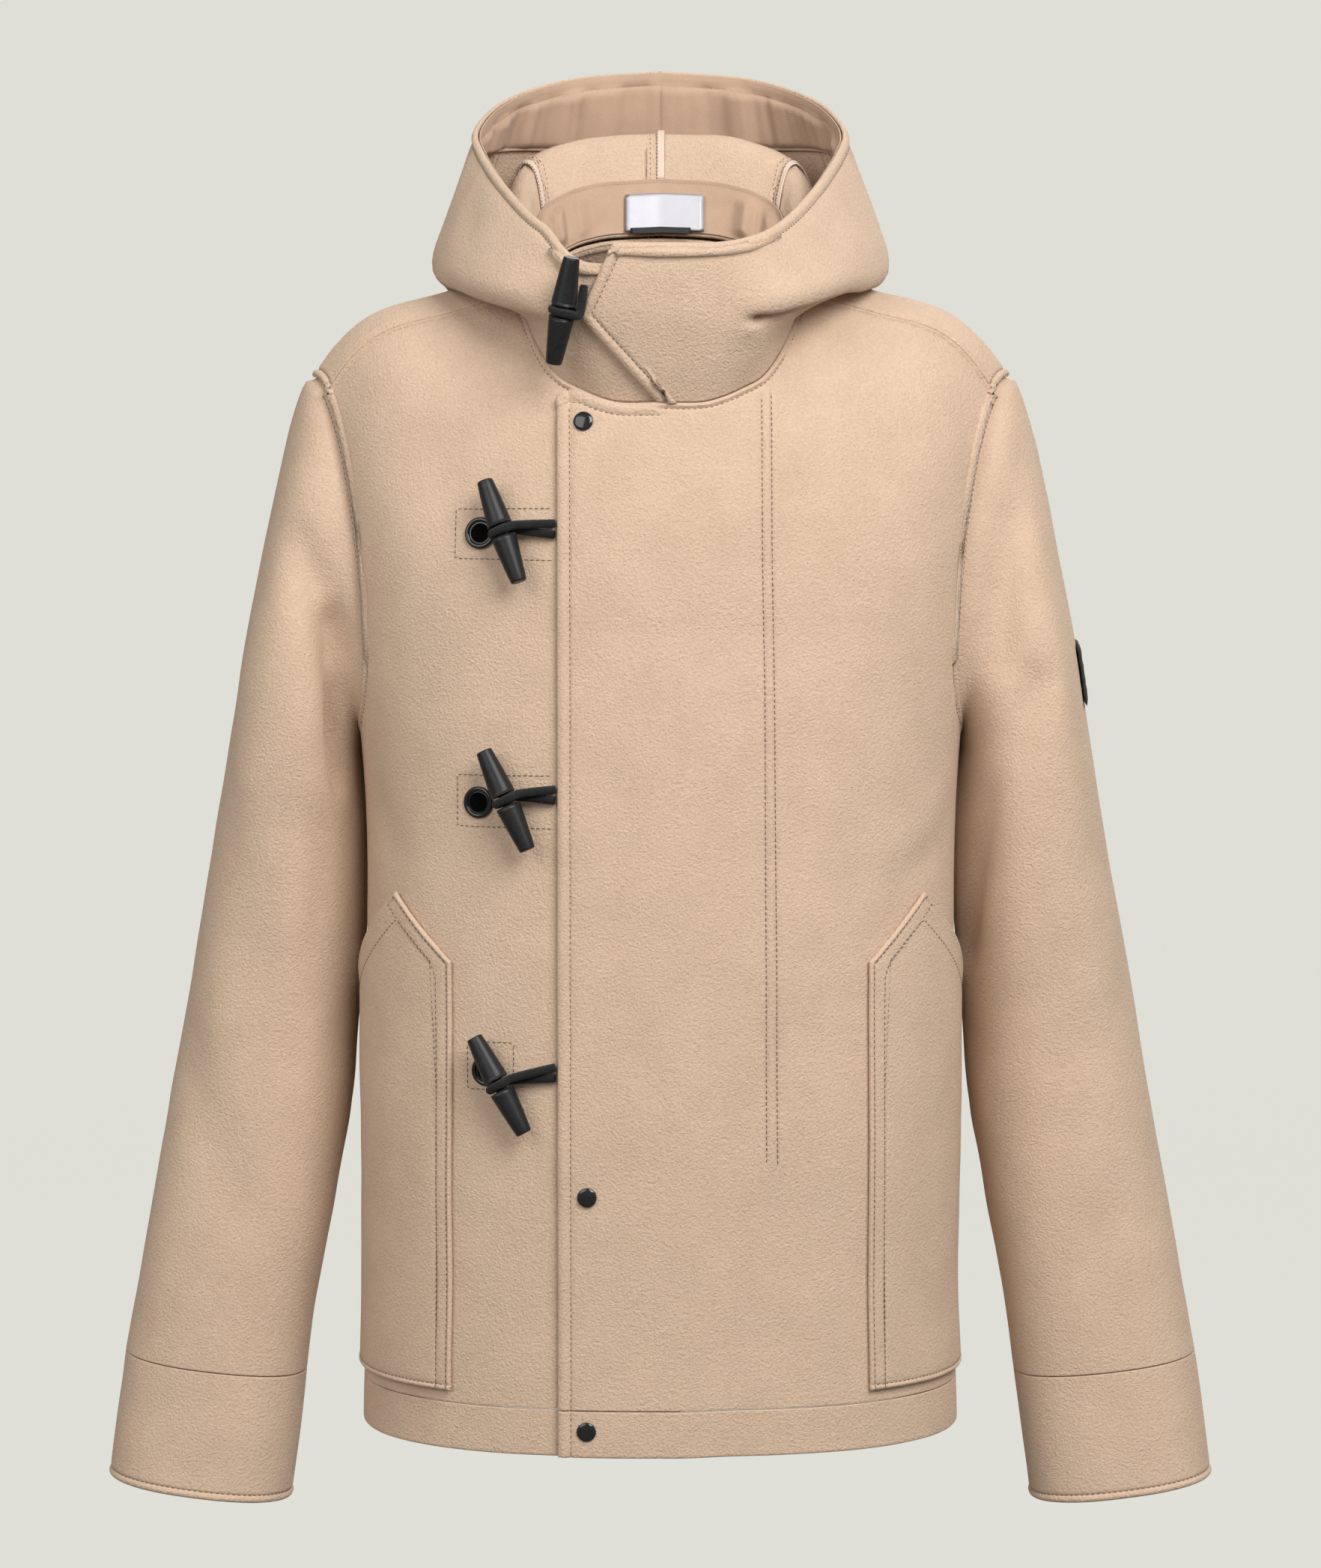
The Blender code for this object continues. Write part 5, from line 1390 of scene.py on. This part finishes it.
def noiseIn(tree, position, scale, detail=2.0, roughness=0.5, distortion=0.0):
    made = addNode(tree, "ShaderNodeTexNoise", {"Vector": position, "Scale": scale, "Detail": detail,
                                                "Roughness": roughness, "Distortion": distortion})
    return made.outputs["Fac"]


def sumOf(tree, parts):      # weighted sum of values
    total = None
    for socket, weight in parts:
        inputs = {0: socket, 1: weight}
        if total is not None:
            inputs[2] = total
        made = addNode(tree, "ShaderNodeMath", inputs, operation="MULTIPLY_ADD" if total is not None else "MULTIPLY")
        total = made.outputs[0]
    return total


def feltGroup():      # pebbled, mottled surface of felted wool
    tree, position, output = startGroup("felt", ("Shade", "Height", "Fleck"))
    pebble = noiseIn(tree, position, 560.0, 3.0, 0.60, 0.10)
    fine = noiseIn(tree, position, 1600.0, 2.0, 0.6, 0.1)
    cells = addNode(tree, "ShaderNodeTexVoronoi", {"Vector": position, "Scale": 700.0, "Randomness": 1.0}, feature="SMOOTH_F1").outputs["Distance"]
    drift = noiseIn(tree, position, 34.0, 3.0, 0.55)
    cloud = noiseIn(tree, position, 7.0, 2.0, 0.5)
    stretched = addNode(tree, "ShaderNodeMapping", {"Vector": position, "Rotation": (0.3, 0.5, 0.9), "Scale": (900.0, 260.0, 1400.0)})
    fibre = noiseIn(tree, stretched.outputs[0], 1.0, 2.0, 0.6, 0.5)
    height = sumOf(tree, [(pebble, 0.55), (fine, 0.20), (cells, -0.25), (fibre, 0.28)])
    shade = sumOf(tree, [(pebble, 0.34), (fine, 0.18), (fibre, 0.20), (drift, 0.18), (cloud, 0.10)])
    tree.links.new(height, output.inputs["Height"])
    tree.links.new(shade, output.inputs["Shade"])
    tree.links.new(fibre, output.inputs["Fleck"])
    return tree


def weaveGroup():     # close crossing threads
    tree, position, output = startGroup("weave", ("Shade", "Height"))
    one = addNode(tree, "ShaderNodeTexWave", {"Vector": position, "Scale": 700.0, "Distortion": 0.6, "Detail": 1.0}, bands_direction="DIAGONAL")
    two = addNode(tree, "ShaderNodeTexWave", {"Vector": position, "Scale": 520.0, "Distortion": 0.6, "Detail": 1.0}, bands_direction="Z")
    fine = noiseIn(tree, position, 900.0, 2.0, 0.6)
    drift = noiseIn(tree, position, 60.0, 3.0, 0.5)
    tree.links.new(sumOf(tree, [(one.outputs["Fac"], 0.35), (two.outputs["Fac"], 0.35), (fine, 0.3)]), output.inputs["Height"])
    tree.links.new(sumOf(tree, [(one.outputs["Fac"], 0.2), (fine, 0.35), (drift, 0.45)]), output.inputs["Shade"])
    return tree


def makeMaterial(name, group, dark, light, roughness, bump, distance=0.0006, span=(0.36, 0.62), principled=None):
    made = bpy.data.materials.new(name)
    made.use_nodes = True
    tree = made.node_tree
    shader = tree.nodes["Principled BSDF"]
    position = addNode(tree, "ShaderNodeTexCoord").outputs["Object"]
    grain = addNode(tree, "ShaderNodeGroup", node_tree=group)
    tree.links.new(position, grain.inputs["Position"])
    ramp = addNode(tree, "ShaderNodeMapRange", {"Value": grain.outputs["Shade"], "From Min": span[0], "From Max": span[1]})
    colour = addNode(tree, "ShaderNodeMix", {"Factor": ramp.outputs[0]}, data_type="RGBA")
    colour.inputs[6].default_value, colour.inputs[7].default_value = (*dark, 1), (*light, 1)
    tree.links.new(colour.outputs[2], shader.inputs["Base Color"])
    bumped = addNode(tree, "ShaderNodeBump", {"Height": grain.outputs["Height"], "Strength": bump, "Distance": distance})
    tree.links.new(bumped.outputs[0], shader.inputs["Normal"])
    shader.inputs["Roughness"].default_value = roughness
    for key, value in (principled or {}).items():
        shader.inputs[key].default_value = value
    return made


looksOf = {
    "wool": ((0.520, 0.375, 0.268), (0.680, 0.500, 0.368)),
    "jersey": ((0.425, 0.288, 0.201), (0.500, 0.345, 0.243)),
    "tape": ((0.560, 0.430, 0.340), (0.700, 0.570, 0.465)),
    "white": ((0.500, 0.500, 0.545), (0.590, 0.590, 0.635)),
    "black": ((0.006, 0.006, 0.007), (0.018, 0.018, 0.019)),
    # thread colour: partly the thread's own brown, partly painted shade, made darker than the wool to stand for the
    # shade in the groove it lies in
    "thread": ((0.085, 0.052, 0.034), (0.150, 0.095, 0.062)),
    "pale": ((0.50, 0.40, 0.31), (0.62, 0.51, 0.41)),
}


def makeLooks():
    felt, weave = feltGroup(), weaveGroup()
    sheen = {"Sheen Weight": 0.18, "Sheen Roughness": 0.55, "Sheen Tint": (0.95, 0.86, 0.74, 1.0), "Specular IOR Level": 0.18}
    return {
        "wool": makeMaterial("feltedWool", felt, *looksOf["wool"], 0.95, 0.90, 0.0018, principled=sheen),
        "jersey": makeMaterial("smoothFacing", weave, *looksOf["jersey"], 0.72, 0.25, 0.0003, principled={"Sheen Weight": 0.15, "Specular IOR Level": 0.3}),
        "tape": makeMaterial("satinTape", weave, *looksOf["tape"], 0.42, 0.25, 0.0002, principled={"Sheen Weight": 0.2}),
        "white": makeMaterial("labelSatin", weave, *looksOf["white"], 0.40, 0.15, 0.0002),
        "dark": makeMaterial("darkTape", weave, *looksOf["black"], 0.65, 0.5, 0.0003),
        "satin": makeMaterial("satinBlack", felt, *looksOf["black"], 0.40, 0.10, 0.0002, principled={"Specular IOR Level": 0.3}),
        "braid": makeMaterial("braidedCord", weave, *looksOf["black"], 0.85, 0.8, 0.0005, principled={"Sheen Weight": 0.1, "Specular IOR Level": 0.25}),
        "metal": makeMaterial("blackMetal", felt, *looksOf["black"], 0.22, 0.05, 0.0002, principled={"Metallic": 0.5, "Coat Weight": 0.5}),
        "gloss": makeMaterial("glossBlack", felt, *looksOf["black"], 0.10, 0.04, 0.0002),
        # near-black matt disc across each eyelet's hole: painted shade for the dark inside of the hole
        "paintedHoleShade": makeMaterial("eyeletHolePaintedShade", felt, (0.002, 0.002, 0.002), (0.005, 0.005, 0.005), 1.0, 0.2, 0.0002, principled={"Specular IOR Level": 0.0}),
        "thread": makeMaterial("threadWithPaintedShade", weave, *looksOf["thread"], 0.70, 0.4, 0.0002),
        "pale": makeMaterial("paleThread", weave, *looksOf["pale"], 0.60, 0.4, 0.0002),
    }


# ---- light and backdrop

studio = {"floor": -1.45, "wall": 7.0, "radius": 1.2, "wide": 14.0, "colour": (0.730, 0.730, 0.672),
          "key": ((1.3, -2.4, 1.8), 1.9, 116.0), "fill": ((-2.0, -2.7, 1.3), 2.3, 54.0), "back": ((0.9, 3.0, 1.3), 2.2, 62.0),
          "world": 0.38, "glow": 0.28, "paper": 0.72}


def makeStudio():
    scene = bpy.context.scene
    scene.view_settings.view_transform = "Standard"
    r = studio["radius"]
    line = [(-9.0, studio["floor"]), (studio["wall"] - r, studio["floor"])]
    line += [(studio["wall"] - r + r * math.sin(a), studio["floor"] + r - r * math.cos(a)) for a in np.radians(np.arange(5, 91, 5))]
    line += [(studio["wall"], 9.0)]
    across = (-studio["wide"], studio["wide"])
    points = [(x, y, z) for y, z in line for x in across]
    quads = [(2 * i, 2 * i + 1, 2 * i + 3, 2 * i + 2) for i in range(len(line) - 1)]
    paper = bpy.data.materials.new("backdrop")
    paper.use_nodes = True
    tree = paper.node_tree
    shader = tree.nodes["Principled BSDF"]
    shader.inputs["Base Color"].default_value = (0.02, 0.02, 0.02, 1)
    shader.inputs["Roughness"].default_value = 1.0
    shader.inputs["Specular IOR Level"].default_value = 0.0
    grain = addNode(tree, "ShaderNodeTexNoise", {"Scale": 1.5})
    mixed = addNode(tree, "ShaderNodeMix", {"Factor": grain.outputs["Fac"]}, data_type="RGBA")
    mixed.inputs[6].default_value = (*[c * 0.985 for c in studio["colour"]], 1)
    mixed.inputs[7].default_value = (*[c * 1.005 for c in studio["colour"]], 1)
    tree.links.new(mixed.outputs[2], shader.inputs["Emission Color"])
    path = addNode(tree, "ShaderNodeLightPath")       # the paper gives the cloth less light than the camera
    strength = addNode(tree, "ShaderNodeMapRange", {"Value": path.outputs["Is Camera Ray"], "To Min": studio["glow"]})
    tree.links.new(strength.outputs[0], shader.inputs["Emission Strength"])
    sweep = addMesh("backdrop", points, quads, paper)
    for name in ("key", "fill", "back"):
        place, size, power = studio[name]
        data = bpy.data.lights.new(name, "AREA")
        data.energy, data.size = power, size
        made = bpy.data.objects.new(name, data)
        made.location = place
        aim = Vector((0, 0, -0.30)) - Vector(place)
        made.rotation_euler = aim.to_track_quat("-Z", "Y").to_euler()
        bpy.context.collection.objects.link(made)
    world = bpy.data.worlds.new("soft")
    world.use_nodes = True
    background = world.node_tree.nodes["Background"]
    background.inputs["Color"].default_value = (1.0, 0.95, 0.89, 1)
    path = addNode(world.node_tree, "ShaderNodeLightPath")
    strength = addNode(world.node_tree, "ShaderNodeMapRange", {"Value": path.outputs["Is Camera Ray"], "To Min": studio["world"],
                                                                "To Max": studio["paper"]})
    world.node_tree.links.new(strength.outputs[0], background.inputs["Strength"])
    scene.world = world


# ---- all together

makeStudio()
looks = makeLooks()
print("studio and materials made")
pieces = makePanels(looks["wool"])
print("panels made")
pieces.update(makeSleeves(looks["wool"], looks["dark"]))
print("sleeves made")
pieces.update(makeHood(looks["wool"], looks["jersey"], looks["tape"]))
pieces.update(makeLabel(looks["white"], looks["dark"]))
print("hood made")
pieces.update(makePockets(looks["wool"]))
pieces.update(makeHardware(looks))
print("pockets and hardware made")
for node, piece in pieces.items():
    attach(piece, "root")
    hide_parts(node)
# the "dark" stitches take the thread colour that carries painted shade for their grooves
for made in makeStitches({"dark": looks["thread"], "pale": looks["pale"]}):
    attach(made, "root")
print("stitches made")
